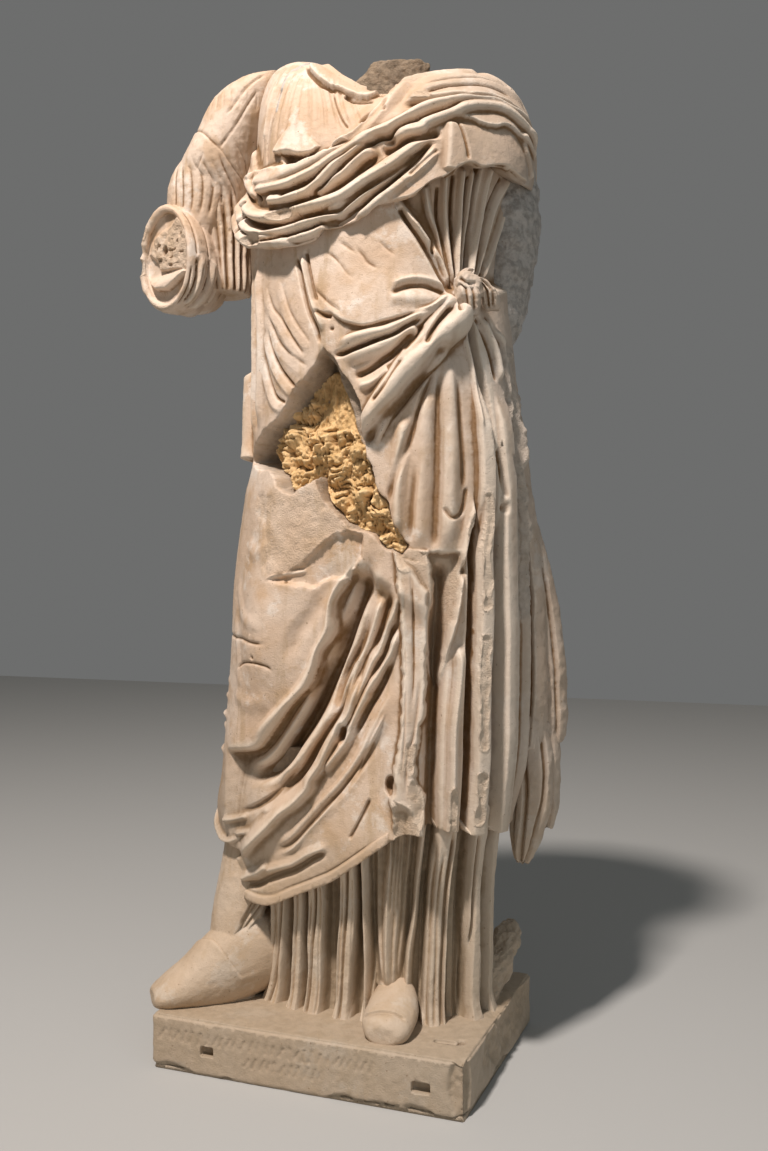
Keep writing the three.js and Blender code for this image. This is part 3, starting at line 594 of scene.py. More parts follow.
for *line, deep in (
        (-43, 1.32, -36.5, 1.263, -30, 1.228, -20, 1.192, .010),
        (-44, 1.40, -38, 1.345, -30, 1.315, -15, 1.245, .006),
        (-33, 1.40, -29.5, 1.37, -24, 1.325, -11, 1.265, .004),
        (-45, 1.275, -39.5, 1.220, -34, 1.183, -26, 1.168, .009),
        (-44, 1.355, -37, 1.305, -29, 1.268, -13, 1.225, .005)):
    mantle.furrow(.0055, .65 * deep, *line, section="soft", ends=(.35, .1))
    ridge = np.array(line) - [3.2, .006, 3, .010, 3, .013, 3, .015]
    mantle.fold(.014, .5 * deep, *ridge, lean=.35, ends=(.3, .1))
mantle.fold(.016, .010, -51, 1.44, -50.5, 1.38, -48, 1.32, -47, 1.25, -48, 1.18, -50, 1.13, section="soft")
mantle.fold(.011, .007, -58, 1.44, -58, 1.33, -57, 1.22, -58, 1.11, section="soft")
mantle.furrow(.006, .006, -54.5, 1.44, -54, 1.35, -52.5, 1.25, -54, 1.12, section="soft")
mantle.furrow(.007, .008, -62.5, 1.44, -62.5, 1.30, -61, 1.18, -62, 1.10, section="soft")
mantle.fold(.019, .032, -84, 1.265, -82.5, 1.20, -80, 1.13, -77, 1.085, section="full", ends=(.1, .02))
mantle.furrow(.010, .016, -73, 1.28, -72, 1.2, -69, 1.11)

# gathered pleats of the gown that run together in the knot, in the hollow under the sling
gathered = mantle.within(34, 1.497, 43, 1.465, 47.5, 1.43, 52, 1.385, 56, 1.352, 62, 1.36, 72, 1.365,
                         96, 1.39, 110, 1.50, 112, 1.66, 30, 1.66, soft=.010, jag=.001)
mantle.ground -= .022 * gathered
for width, depth, *line in (
        (.008, .016, 34, 1.49, 38.5, 1.463, 43, 1.437, 47.5, 1.405, 51.5, 1.375, 56, 1.343),
        (.006, .014, 50.5, 1.53, 51, 1.48, 53, 1.44, 55.5, 1.40, 58, 1.36),
        (.006, .016, 57, 1.55, 57.5, 1.48, 58.5, 1.44, 59.7, 1.38),
        (.0045, .014, 63.5, 1.55, 63, 1.48, 62, 1.37),
        (.011, .026, 67.5, 1.57, 67, 1.50, 66, 1.45, 65, 1.38),
        (.005, .014, 81, 1.56, 76.5, 1.505, 74, 1.47, 72, 1.41, 69, 1.37),
        (.005, .012, 86, 1.55, 80, 1.48, 76.5, 1.44, 74, 1.38)):
    mantle.furrow(width, depth, *line, ends=(.04, .1), section="soft")
for width, rise, *line in (
        (.010, .016, 32, 1.515, 37, 1.487, 42, 1.46, 48, 1.43, 53, 1.40, 57, 1.36),
        (.010, .013, 45, 1.53, 48, 1.48, 52, 1.445, 56, 1.39, 58, 1.365),
        (.009, .014, 53.5, 1.55, 54.5, 1.48, 56.5, 1.42, 58.7, 1.365),
        (.009, .016, 60.5, 1.56, 61, 1.48, 60.5, 1.37), (.006, .012, 65, 1.56, 64.7, 1.47, 63.5, 1.37),
        (.010, .014, 73, 1.57, 71.5, 1.49, 69, 1.42, 67, 1.37),
        (.009, .016, 84, 1.56, 78, 1.50, 75, 1.45, 70.5, 1.38),
        (.010, .014, 92, 1.54, 85, 1.47, 79, 1.42, 74, 1.38)):
    mantle.fold(width, rise, *line, ends=(.04, .1))
mantle.pit(48.5, 1.425, .006, .013, .016)

# back and hidden sides, plainer: long slanting folds from the left shoulder, falling straight below
for k in range(10):
    at, width, slant = 106 + 15.5 * k, .017 + .007 * math.sin(2.6 * k), 40 - 4.4 * k
    mantle.fold(width, .013 + .004 * math.sin(3 * k), at, 1.62, at + .35 * slant, 1.34,
                at + .7 * slant + 3 * math.sin(5 * k), 1.02, at + .95 * slant, .70, at + slant, .41,
                ends=(0, 0), section="soft")
    mantle.furrow(.012, .005 + .003 * math.sin(4 * k), at + 8, 1.56, at + 9 + .4 * slant, 1.28,
                  at + 9 + .8 * slant, .95, at + 8 + slant, .60, ends=(.1, .4), section="soft")
for at, top in ((113, 1.22), (122, 1.05), (133, .90)):
    mantle.fold(.020, .013, at, top, at + 6, .5 * (top + .41), at + 8, .41, ends=(.5, 0), section="soft")
mantle.swell(.06, .012, 120, 1.38, 160, 1.22, 200, 1.14, 250, 1.12)

# broken places: the right hip, the edges of the folds around it, and worn crests
lost = mantle.within(-4, 1.256, -10, 1.228, -16, 1.208, -21, 1.195, -26, 1.172, -30, 1.155, -34, 1.14,
                     -45, 1.127, -53, 1.112, -62, 1.100, -66, 1.080, -50, 1.062, -36, 1.055, -30, 1.040,
                     -27, 1.020, -20, 1.010, -15, 1.022, -8, 1.035, -6, 1.018, -3, .995, 5, .970,
                     9.5, .950, 17.5, .945, 23, .935, 27, .915, 35, .905, 38, .92, 31, .957, 28, .998,
                     24.5, 1.010, 22.5, 1.022, 21.5, 1.052, 18.5, 1.066, 17.5, 1.095, 17, 1.135,
                     15, 1.165, 11, 1.187, 7, 1.21, 2, 1.238, soft=.0025, jag=.0025)
deep = mantle.within(-6, 1.245, -10, 1.222, -16, 1.203, -21, 1.19, -26, 1.167, -30, 1.15, -34, 1.135,
                     -45, 1.122, -53, 1.107, -64, 1.095, -66, 1.083, -50, 1.068, -31, 1.047, -24, 1.018,
                     -8, 1.045, -4, 1.0, 10, .96, 24, .935, 33, .915, 30, .95, 24, 1.0, 20, 1.045,
                     13, 1.10, 9, 1.15, 3, 1.19, 0, 1.225, soft=.006)
for width, level, *line in (
        (.010, .0165, 65.6, 1.0, 65.4, .90, 65.2, .82), (.010, .017, 64.9, .76, 65, .70, 65, .58),
        (.009, .0165, 64.8, .53, 64.8, .46), (.007, .021, 43.5, .80, 43.5, .76),
        (.009, .018, 40, .58, 39.5, .55), (.008, .016, 43, .52, 44.5, .48),
        (.009, .008, 56, .50, 56, .44), (.008, .010, 62, .965, 60.5, .935),
        (.014, .004, 34, .925, 40, .905, 47, .905), (.010, .008, 85, 1.18, 84, 1.06),
        (.012, .006, 88, 1.02, 88, .90), (.010, .017, 36, .47, 35, .44)):
    mantle.knocked_off(width, level, *line)
mantle.pit(31, .515, .012, .018, .022, .8)
mantle.furrow(.003, .005, 31.5, .50, 35, .485, 38, .478)
under = mantle.within(33, .90, 45, .905, 57, .905, 58.5, .875, 56, .83, 53.5, .78, 50.5, .71, 49.5, .68,
                      47, .70, 45.6, .77, 44.8, .84, 40, .872, soft=.004)
mantle.ground -= .016 * under
torn = broken_stone(mantle.place, .035)
mantle.finish()
mantle.hollow *= less_behind(mantle, .6)
torn_wide = broken_stone(mantle.place, .05, 4, 11.0)
sunk_in = -.022 - .046 * deep * (1 - .12 * ease((-mantle.degrees - 12) / 20))
mantle.lift += lost * (sunk_in + .006 * torn + .008 * torn_wide * deep - mantle.lift)
face = mantle.within(-34, .885, -30, .862, -18, .88, -14, .888, -10.5, .905, -3, .93, 1.5, .938, 8, .945,
                     9.5, .952, 5, .972, -3, .998, -6, 1.02, -8, 1.038, -15, 1.025, -20, 1.012, -27, 1.02,
                     -32, 1.005, -42, 1.01, -44, .985, -36, .965, -33, .93, soft=.004)
mantle.lift += face * (.0022 * torn - .0035)
flaked = mantle.within(79, 1.27, 97, 1.28, 100, 1.12, 98, .97, 93, .80, 87, .79, 85, .93, 82, 1.04,
                       80, 1.14, soft=.006, jag=.004)
mantle.lift += flaked * (.006 * torn - .004)
hollow = mantle.within(-30, .862, -18, .879, -14, .887, -10.5, .903, -3, .928, 1.5, .936, 8, .943,
                       17, .935, 16, .90, 8, .865, 0, .865, -8, .85, -20, .855, soft=.005)
mantle.lift -= .012 * hollow
broken = np.maximum(np.maximum(lost, .55 * face), .8 * np.maximum(under, flaked))
mantle.rough = np.maximum(mantle.rough, broken)
mantle.grey = np.maximum(mantle.grey, np.maximum(.25 * lost * (1 - deep), .45 * flaked))
# painted shadow, put in as brown, on the folds of the lower right leg under the bulging cloth; brown also
# marks the lost hip as stain, and its deep pocket as stain and painted shade
painted_fold_shadow = mantle.within(-80, .54, -50, .55, -38, .51, -44, .43, -50, .40, -76, .38, soft=.025)
mantle.brown = np.maximum(mantle.brown, np.maximum(.8 * deep, np.maximum(.5 * lost, .38 * painted_fold_shadow)))
mantle.carved = mantle.place + mantle.out * mantle.lift[..., None]


def closed_stone(name, carving, inward, rise, rows, faces):
    """Closes a carved wrap from below: its lowest ring turns in under it towards its middle."""
    ring = carving.carved[0]
    middle = np.array([AXIS[0], AXIS[1], 0])
    inner = middle + (ring - middle) * [inward, inward, 1] + [0, 0, rise]
    t = np.linspace(1, 0, rows + 1)[:-1, None, None]
    turned = ring + (inner - ring) * t**1.3 - HEM_ROUNDING * np.sin(np.pi * np.minimum(4 * t, 1))
    grid = np.vstack([turned, carving.carved])
    block = stone_block(name, carving, grid, under=grid[0].mean(0))
    pare(block, faces)
    return block


class Shade:
    """A shader value: sums and products of these make the Math nodes that work them out."""

    def __init__(self, tree, socket):
        self.tree, self.socket = tree, socket

    def node(self, kind, settings=None, output=0, **values):
        """Any node: its settings first, then its sockets, named or as i0, i1 and so on."""
        made = self.tree.nodes.new("ShaderNode" + kind)
        for key, value in (settings or {}).items():
            setattr(made, key, value)
        for key, value in values.items():
            numbered = key[0] == "i" and key[1:].isdigit()
            slot = made.inputs[int(key[1:]) if numbered else key.replace("_", " ")]
            if isinstance(value, Shade):
                self.tree.links.new(value.socket, slot)
            else:
                slot.default_value = value
        return Shade(self.tree, made.outputs[output])

    def math(self, operation, other, swap=False):
        first, second = (other, self) if swap else (self, other)
        return self.node("Math", {"operation": operation}, i0=first, i1=second)

    def __add__(self, other):
        return self.math("ADD", other)

    def __mul__(self, other):
        return self.math("MULTIPLY", other)

    def __sub__(self, other):
        return self.math("SUBTRACT", other)

    def __rsub__(self, other):
        return self.math("SUBTRACT", other, swap=True)

    __radd__, __rmul__ = __add__, __mul__

    def between(self, low, high):
        """0 below low, 1 above high, smooth in between."""
        smooth = {"interpolation_type": "SMOOTHSTEP"}
        return self.node("MapRange", smooth, Value=self, From_Min=low, From_Max=high)

    def blend(self, first, second):
        """From one colour to another as this goes from 0 to 1."""
        first, second = (c if isinstance(c, Shade) else (*c, 1) for c in (first, second))
        return self.node("Mix", {"data_type": "RGBA"}, 2, i0=self, i6=first, i7=second)


def new_material(name, rough, shine):
    """A plain surface, with a start for its nodes and the place on the piece."""
    material = bpy.data.materials.new(name)
    material.use_nodes = True
    surface = material.node_tree.nodes["Principled BSDF"]
    surface.inputs["Roughness"].default_value = rough
    surface.inputs["Specular IOR Level"].default_value = shine
    start = Shade(material.node_tree, None)
    return material, start, start.node("TexCoord", output=3), surface


def coat(surface, colour, relief, depth):
    """Gives a surface its colour, and its fine relief as a bump of a depth."""
    bump = colour.node("Bump", Strength=1.0, Distance=depth, Height=relief)
    colour.tree.links.new(colour.socket, surface.inputs["Base Color"])
    colour.tree.links.new(bump.socket, surface.inputs["Normal"])


def grain_of(place, scale, detail=4.0, rough=.55, stretch=(1, 1, 1)):
    """Cloudy grain, finer as the scale goes up, and drawn out where it is stretched."""
    if stretch != (1, 1, 1):
        place = place.node("Mapping", Vector=place, Scale=stretch)
    return place.node("TexNoise", Vector=place, Scale=scale, Detail=detail, Roughness=rough)


def weathered_marble():
    """Warm cream, ochre dirt and painted shade in the folds, worn pale on the crests, grey weathering and
    painted shade on the left side.
    """
    marble, start, place, surface = new_material("weathered_marble", .62, .35)
    hollow, rough, grey, brown = (start.node("Attribute", {"attribute_name": mark}, 2) for mark in MARKS)
    clouds, patches = grain_of(place, 4.5), grain_of(place, 17, 5)
    mottle, specks = grain_of(place, 70, 5, .6), grain_of(place, 420, 3, .6)
    runs = grain_of(place, 28, 4, .6, (1, 1, .16))
    colour = clouds.between(.36, .64).blend((.57, .40, .265), (.66, .53, .415))
    colour = (patches.between(.50, .68) * .60).blend(colour, (.49, .315, .17))
    chalk = grain_of(place, 11, 6, .68).between(.55, .64)
    colour = (chalk * .5).blend(colour, (.78, .72, .64))
    colour = (runs.between(.52, .68) * .55).blend(colour, (.44, .30, .17))
    colour = (mottle.between(.54, .70) * .38).blend(colour, (.42, .29, .17))
    # grey weathering and painted shade: the figure's left side is painted greyer and darker in patches
    side = place.node("SeparateXYZ", Vector=place)
    colour = (side.between(.10, .34) * (.30 + .5 * patches)).blend(colour, (.40, .345, .285))
    # dirt and painted shade: the hollows of the folds go dark brown, for the dirt lying in them and for the
    # shade falling there
    dirt_and_shade = hollow.between(.04, .80)
    colour = (dirt_and_shade * (.60 + .6 * mottle)).blend(colour, (.20, .105, .038))
    crest = (0 - hollow).between(.15, .9)
    colour = (crest * .5).blend(colour, (.80, .70, .57))
    colour = (rough * (.25 + .45 * specks)).blend(colour, (.62, .48, .34))
    stain_and_shade_mottle = mottle.between(.38, .62)
    colour = (grey * .85).blend(colour, stain_and_shade_mottle.blend((.50, .47, .43), (.30, .285, .26)))
    # the brown mark: real brown stain on the neck wall and breaks, and painted shade in the gown's gaps, the
    # hip's deep pocket and under the fold on the right leg
    colour = (brown * .9).blend(colour, stain_and_shade_mottle.blend((.26, .19, .12), (.14, .10, .06)))
    low = 1 - place.node("SeparateXYZ", output=2, Vector=place).between(.20, .62)
    colour = (low * .55).blend(colour, (.44, .35, .24))
    pricks = grain_of(place, 190, 2, .5).between(.70, .76)
    colour = (pricks * .7).blend(colour, (.22, .14, .08))
    relief = specks * (.5 + rough * 1.3) + mottle * (.8 + rough) + patches * .4 + runs * .4
    coat(surface, colour, relief, .0017)
    return marble


marble = weathered_marble()


def of_marble(piece):
    """Gives a piece of the carved block its material, and its place in the part."""
    piece.data.materials.clear()
    piece.data.materials.append(marble)
    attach(piece, "root")
    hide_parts("statue")


of_marble(closed_stone("mantle_wrap", mantle, .62, .05, 14, 199000))

# Bust of the same block: thin gown over breast and right shoulder, the mantle's sling wound across it
# in thick swags, its loose sheet over the left shoulder, and the hollow cut for a separate head.
wrap = np.linspace(0, 1, 104 // STEP)[:, None]
shoulder = np.arange(SHOULDER, RIM, .0014 * STEP)[1:]
hollow = np.linspace(RIM, SOCKET - .0005, 64 // STEP)
crown = np.r_[shoulder, hollow][:, None]
bust = Carving(bare_form, TURN, np.vstack([sling + wrap * (SHOULDER - sling), crown + 0 * sling]), GIRTH)
for *line, deep in (
        (-46, 1.80, -48, 1.74, -50, 1.66, .003), (-42, 1.80, -41, 1.73, -38, 1.62, .0032),
        (-38, 1.80, -35, 1.72, -32, 1.61, .0025), (-34, 1.79, -29, 1.72, -26, 1.61, .0020),
        (-30, 1.79, -24, 1.71, -20, 1.61, .0022), (-26, 1.78, -17, 1.70, -12, 1.61, .0022),
        (-22, 1.78, -12, 1.70, -7, 1.61, .0016), (-20, 1.77, -9, 1.70, -3, 1.62, .0026),
        (-12, 1.77, -3, 1.70, 5, 1.63, .003), (-4, 1.76, 4, 1.69, 11, 1.635, .003),
        (6, 1.74, 12, 1.69, 16, 1.65, .002), (-36, 1.80, -32, 1.74, -29, 1.66, .0016),
        (-32, 1.79, -26.5, 1.73, -23, 1.66, .0016), (-8, 1.77, .5, 1.70, 8, 1.64, .002),
        (-56, 1.80, -58, 1.74, -60, 1.66, .003), (-66, 1.80, -68, 1.74, -70, 1.66, .003)):
    bust.furrow(.0045, deep, *line, ends=(.2, .3))
for width, depth, *line in (
        (.004, .008, -33, 1.80, -28, 1.775, -21, 1.755, -14, 1.741, -8, 1.737, -2, 1.739),
        (.007, .012, 2, 1.737, 8, 1.728, 15, 1.726, 22, 1.732), (.005, .008, 30, 1.75, 30, 1.71),
        (.004, .006, -5, 1.732, -1, 1.70, 4.5, 1.665, 9, 1.643),
        (.010, .010, 14.5, 1.655, 24, 1.695, 29, 1.73), (.007, .009, 17, 1.64, 25, 1.665, 30, 1.675),
        (.006, .011, -38, 1.715, -38.5, 1.677, -38.5, 1.652, -41, 1.60),
        (.006, .008, -47, 1.76, -46, 1.70, -46, 1.64, -48, 1.60),
        (.008, .008, 20, 1.80, 24, 1.775, 30, 1.76)):
    bust.furrow(width, depth, *line, section="soft")
bust.pit(-38.5, 1.65, .005, .018, .012)
bust.edge(.011, .09, .0014, -33, 1.81, -28, 1.782, -21, 1.762, -14, 1.748, -8, 1.743, -2, 1.745, 4, 1.741,
          8, 1.740, 13, 1.737, 20, 1.742, 25, 1.765, 28, 1.79)
bust.fold(.010, .006, -31, 1.83, -20, 1.815, -8, 1.80, 2, 1.79, 12, 1.785, 24, 1.80)
bust.fold(.008, .006, -44, 1.72, -43, 1.68, -44, 1.62)
bust.edge(.011, .06, .0016, -34, 1.608, -32, 1.605, -26, 1.600, -18, 1.592, -14, 1.590, -9, 1.597,
          -6, 1.607)
bust.ground -= .022 * bust.within(-28, 1.602, -26, 1.583, -18, 1.580, -14, 1.586, -10, 1.594, -18, 1.594,
                                  -24, 1.602, soft=.003, jag=.001)

# the sling's swags
swathed = bust.within(-90, 1.40, 135, 1.40, 131, 1.88, 100, 1.88, 60, 1.88, 40, 1.84, 34, 1.76, 26, 1.70,
                      20, 1.655, 12, 1.625, 0, 1.598, -8, 1.587, -20, 1.582, -32, 1.585, -45, 1.592,
                      -58, 1.61, -68, 1.60, -90, 1.58, soft=.0035, jag=.001)
bust.ground += .013 * swathed
bust.ground += .010 * (1 - swathed) * ((bust.degrees > 110) | (bust.degrees < -80))
bust.edge(.012, .07, .002, *beside(SLING_EDGE, range(24, 92, 4), .0015), ends=(.25, .1))
for width, rise, lean, section, *line in (
        (.020, .011, .2, "soft", -52, 1.572, -44, 1.566, -34, 1.560, -22, 1.565, -10, 1.575, 2, 1.592, 13,
         1.618, 22, 1.648, 30, 1.685, 38, 1.735, 44, 1.79),
        (.011, .017, .3, "round", -48, 1.57, -44, 1.552, -30, 1.546, -20, 1.548, -9, 1.557, 2, 1.573, 11,
         1.585, 19, 1.597, 28, 1.612, 35, 1.628, 43, 1.653, 50, 1.665, 57, 1.668, 64, 1.670, 71, 1.667,
         78, 1.653, 85, 1.635, 92, 1.61),
        (.011, .018, .3, "round", -38, 1.527, -28, 1.520, -13, 1.523, -5, 1.538, 3, 1.558, 11, 1.569, 24,
         1.593),
        (.010, .016, .3, "round", -8, 1.513, 1, 1.530, 10, 1.545, 18, 1.567, 25, 1.58),
        (.012, .014, .3, "round", 31, 1.590, 37, 1.605, 43, 1.613, 45, 1.625, 51, 1.637, 57, 1.648, 63,
         1.655, 71, 1.655, 78, 1.64, 84, 1.625, 90, 1.605),
        (.013, .021, .3, "round", -57, 1.565, -53, 1.535, -46, 1.508, -36, 1.493, -28, 1.490, -20, 1.495,
         -5, 1.498, 8, 1.506, 19, 1.527, 30, 1.550, 38, 1.574, 44, 1.590, 50, 1.603),
        (.012, .020, .3, "round", -64, 1.57, -60, 1.53, -53, 1.495, -43, 1.475, -26, 1.463, -13, 1.466,
         -3, 1.473, 4, 1.484, 12, 1.493, 19, 1.505, 26, 1.524, 32, 1.541, 39, 1.566, 45, 1.586),
        (.014, .022, .2, "full", -69, 1.545, -62, 1.50, -53, 1.472, -42, 1.459, -31, 1.446, -25, 1.441,
         -17, 1.443),
        (.009, .014, .2, "round", -24, 1.444, -15, 1.446, -8, 1.450, 0, 1.460),
        (.014, .010, .2, "soft", 14, 1.468, 24, 1.492, 34, 1.52, 44, 1.557, 49, 1.585),
        (.012, .012, .2, "round", -66, 1.60, -58, 1.585, -50, 1.56, -44, 1.54)):
    bust.fold(width, rise, *line, lean=lean, section=section, ends=(.08, .12))
for width, depth, *line in (
        (.005, .008, -3, 1.592, 5, 1.597, 13, 1.605),
        (.010, .012, -29, 1.528, -22, 1.535, -14, 1.543, -6, 1.549),
        (.007, .017, -14, 1.507, -9, 1.523, -1.5, 1.534, 7, 1.559, 14, 1.572, 24.5, 1.596, 30, 1.601,
         34, 1.617, 38, 1.629, 43, 1.638, 47, 1.645, 54, 1.657, 58.5, 1.663),
        (.013, .015, -28, 1.505, -10, 1.513, 8, 1.533, 17, 1.552, 27, 1.577),
        (.011, .016, 27, 1.573, 33, 1.582, 38, 1.592, 44, 1.597, 50, 1.61),
        (.010, .023, -50, 1.50, -43, 1.488, -36, 1.478, -22, 1.476, -11, 1.480, -1, 1.483, 6, 1.487,
         13, 1.499, 17, 1.508, 27, 1.530, 34, 1.547, 40, 1.565, 46, 1.585),
        (.006, .013, -46, 1.462, -36, 1.455, -26, 1.452, -13, 1.457, -8, 1.460, 0, 1.468),
        (.010, .020, -2, 1.463, 8, 1.471, 16, 1.487, 23, 1.508, 29, 1.523, 37, 1.552, 44, 1.581, 48, 1.60),
        (.005, .007, 38, 1.535, 44, 1.56, 49, 1.58), (.004, .013, -44, 1.585, -45, 1.555, -41, 1.53),
        (.008, .024, 36, 1.672, 38, 1.677, 44, 1.680, 50, 1.679, 57, 1.681, 63, 1.677, 70, 1.676,
         76, 1.664, 83, 1.653, 90, 1.632),
        (.004, .006, 55, 1.63, 57, 1.60, 59, 1.565),
        (.006, .010, 50, 1.745, 62, 1.748, 75, 1.735, 86, 1.705),
        (.006, .010, -60, 1.49, -54, 1.515, -50, 1.54),
        (.012, .010, 8, 1.60, 16, 1.625, 24, 1.66, 30, 1.70),
        (.005, .008, 46, 1.70, 56, 1.712, 68, 1.71, 80, 1.69),
        (.006, .008, 48, 1.81, 60, 1.80, 74, 1.775, 86, 1.745)):
    bust.furrow(width, depth, *line, section="soft")
bust.furrow(.002, .004, -17, 1.56, -16.5, 1.50, -17.5, 1.44)
bust.pit(31, 1.592, .012, .009, .010)
bust.pit(23.5, 1.515, .006, .005, .006)
bust.edge(.011, .07, .002, 36, 1.672, 44, 1.678, 50, 1.679, 57, 1.681, 63, 1.677, 70, 1.676, 76, 1.664,
          83, 1.653, 90, 1.632)
bust.edge(.009, .05, .0018, 53, 1.634, 55, 1.636, 60, 1.632, 63, 1.625, 68, 1.622, 73, 1.628, 79, 1.617,
          85, 1.607, 92, 1.60)
bust.edge(.012, .05, .007, 52, 1.632, 51.5, 1.59, 51, 1.545)
bust.edge(.008, .05, .004, 79, 1.625, 82, 1.60, 86, 1.585, 91, 1.57)
bust.fold(.012, .012, -58, 1.592, -55, 1.588, -51, 1.585, section="full")
for width, rise, *line in (
        (.020, .008, 45, 1.77, 60, 1.765, 75, 1.75, 88, 1.72),
        (.020, .010, 40, 1.82, 55, 1.83, 72, 1.815, 88, 1.78),
        (.018, .007, 40, 1.705, 52, 1.722, 66, 1.728, 80, 1.708, 92, 1.68),
        (.020, .012, 94, 1.82, 99, 1.74, 104, 1.66, 108, 1.54)):
    bust.fold(width, rise, *line, section="soft")
for k in range(1, 9):
    at = 108 + 16 * k
    bust.fold(.018 + .004 * math.sin(2.6 * k), .010, at - 14, 1.82, at - 8, 1.74, at - 3, 1.65, at, 1.50,
              section="soft", ends=(.25, 0))
for width, level, *line in (
        (.009, .016, -28, 1.492, -24, 1.492), (.010, .020, 36, 1.69, 41, 1.695, 46, 1.69),
        (.014, .014, 80, 1.77, 88, 1.75, 95, 1.73), (.010, .010, 38, 1.80, 45, 1.805, 54, 1.81),
        (.007, .020, -47, 1.463, -43, 1.460), (.008, .012, 16, 1.762, 22, 1.765, 27, 1.772)):
    bust.knocked_off(width, level, *line)
socket = ease((bust.marks - RIM - .004) / .012)
bust.finish()
bust.hollow *= less_behind(bust, .6)
bust.lift += socket * (.0015 * broken_stone(bust.place, .02) - bust.lift)
bust.rough = np.maximum(bust.rough, .7 * socket)
joint = (-38, 1.84, -37.5, 1.78, -40.5, 1.758, -39.5, 1.734, -37.5, 1.704, -36, 1.67)
window, away = bust.from_line(joint, .006)[:2]
bust.grey[window] = np.maximum(bust.grey[window], ease((.0045 - away) / .002) * (away < .006))
bust.lift[window] += .0012 * ease((.0045 - away) / .002)
bust.carved = bust.place + bust.out * bust.lift[..., None]
of_marble(closed_stone("bust", bust, .72, .03, 12, 188000))

# Gown under the mantle, of the same block. Its thick pleats fall to the base all round, gathered in
# front, drawn in over the left shin to the shoe, with deep black gaps between; the back is plainer.
gown = Carving(bare_form, TURN, np.linspace(.05, .56, 330 // STEP), .25)
gown.ground -= .050 - .010 * np.clip(1 - (gown.marks - .09) / .05, 0, 1)**2
PLEATS = [
    (.024, .036, -44, .36, -46, .28, -49, .18, -53.5, .05),
    (.013, .036, -31, .36, -33, .27, -35, .18, -37.5, .05),
    (.020, .037, -18, .38, -20.5, .28, -22.5, .18, -24.5, .05),
    (.019, .038, 5, .40, 3, .28, 0, .18, -1.5, .05), (.0085, .037, 14.5, .43, 14.5, .30, 15, .20, 16, .05),
    (.008, .030, 45.5, .45, 44.5, .30, 41, .20, 40, .05),
    (.026, .038, 56, .46, 55.5, .28, 54.5, .18, 54, .05),
    (.021, .037, 73, .46, 73.5, .28, 75, .18, 75.5, .05), (.014, .034, 88, .46, 89, .25, 91, .05),
    (.018, .030, -66, .36, -68, .22, -72, .05), (.020, .032, -80, .38, -81, .22, -84, .05)]
PLEATS += [(.024, .030 + .004 * math.sin(5 * at), at, .50, at + 1, .25, at, .05)
           for at in range(104, 264, 12)]
for width, rise, *line in PLEATS:
    gown.fold(width, rise, *line, section="flat" if width > .012 else "full", ends=(0, 0))
    gown.fold(width + .005, rise + .002, *line[-4:-2], line[-2], .17, *line[-2:], section="flat",
              ends=(.9, 0))
gown.swell(.036, .034, 31, .40, 30, .28, 30, .19, 31, .12, ends=(.4, .1))
for width, rise, *line in (
        (.010, .009, 22, .46, 22, .34, 23, .24, 27, .15),
        (.012, .012, 29, .46, 29.5, .34, 29, .24, 30, .14),
        (.008, .007, 35, .46, 35, .34, 34, .24, 33, .14),
        (.009, .008, 40, .46, 39, .34, 37.5, .25, 35, .16)):
    gown.fold(width, rise, *line, ends=(0, .15))
gown.fold(.007, .007, 19, .165, 22, .152, 26, .158, 30, .147, 35, .157, 40, .150, 43, .160, ends=(.2, .2))
for width, depth, *line in (
        (.004, .010, -41, .33, -44, .26, -48, .17, -54, .06), (.003, .006, -47, .30, -50.5, .2, -58, .06),
        (.003, .005, -31.5, .33, -34, .25, -38, .08),
        (.004, .010, -18, .35, -20, .28, -24, .18, -27, .07),
        (.003, .006, -15.5, .34, -17, .25, -20, .08), (.003, .005, -23, .3, -26, .2, -30, .08),
        (.004, .010, 5.5, .38, 2.5, .28, -1, .18, -2.5, .07), (.003, .005, 8, .36, 6.5, .25, 3.5, .08),
        (.003, .005, .5, .34, -2, .22, -5.5, .10), (.003, .005, 31, .42, 30.5, .28),
        (.003, .005, 35, .42, 34.5, .28), (.005, .013, 51.5, .44, 52, .30, 50.5, .18, 50, .06),
        (.005, .012, 58.5, .44, 58, .27, 57, .18, 57.5, .06), (.003, .005, 55, .40, 54.5, .25, 53.5, .08),
        (.003, .005, 62, .42, 61.5, .08), (.003, .005, 48.5, .36, 47.5, .1),
        (.005, .012, 71.5, .44, 72, .30, 71, .18, 71, .06), (.003, .006, 76, .42, 77, .25, 78.5, .08),
        (.003, .005, 88, .40, 89, .1), (.003, .005, -57, .25, -60, .1), (.003, .004, 12.5, .36, 13.5, .1)):
    gown.furrow(width, depth, *line)
for at, deep in ((-49, .004), (-30, .004), (-10.5, .005), (9, .006), (45, .004), (67, .008), (83, .004)):
    gown.furrow(.009, deep, at + 3, .45, at + 1, .28, at, .05, section="soft", ends=(0, 0))
gown.finish(wear=.0006)
# painted shade: the deep gaps between the pleats are browned, and the hollow mark made stronger, to darken
# them
gown.brown = np.maximum(gown.brown, .8 * ease((-.026 - gown.lift) / .016))
gown.hollow = np.clip(1.6 * gown.hollow, -1, 1) * less_behind(gown, .75)
of_marble(closed_stone("gown_skirt", gown, 1, 0, 0, 112000))

# Right arm, held forward in its sleeve and broken off below the elbow: upper arm with the hanging
# sleeve, the sleeve's end rolled up round the forearm, and in it the rough core of the lost forearm.
SIDEWAYS, BACKWARDS = (.934, .358, 0), (-.358, .934, 0)
AHEAD, ACROSS, UP = (np.array(way) for way in ((-.250, -.968, 0), (.968, -.250, 0), (0, 0, 1)))
STUMP = np.array([-.339, -.095, 1.462])
CORE_WIDE, CORE_TALL = .063, .094


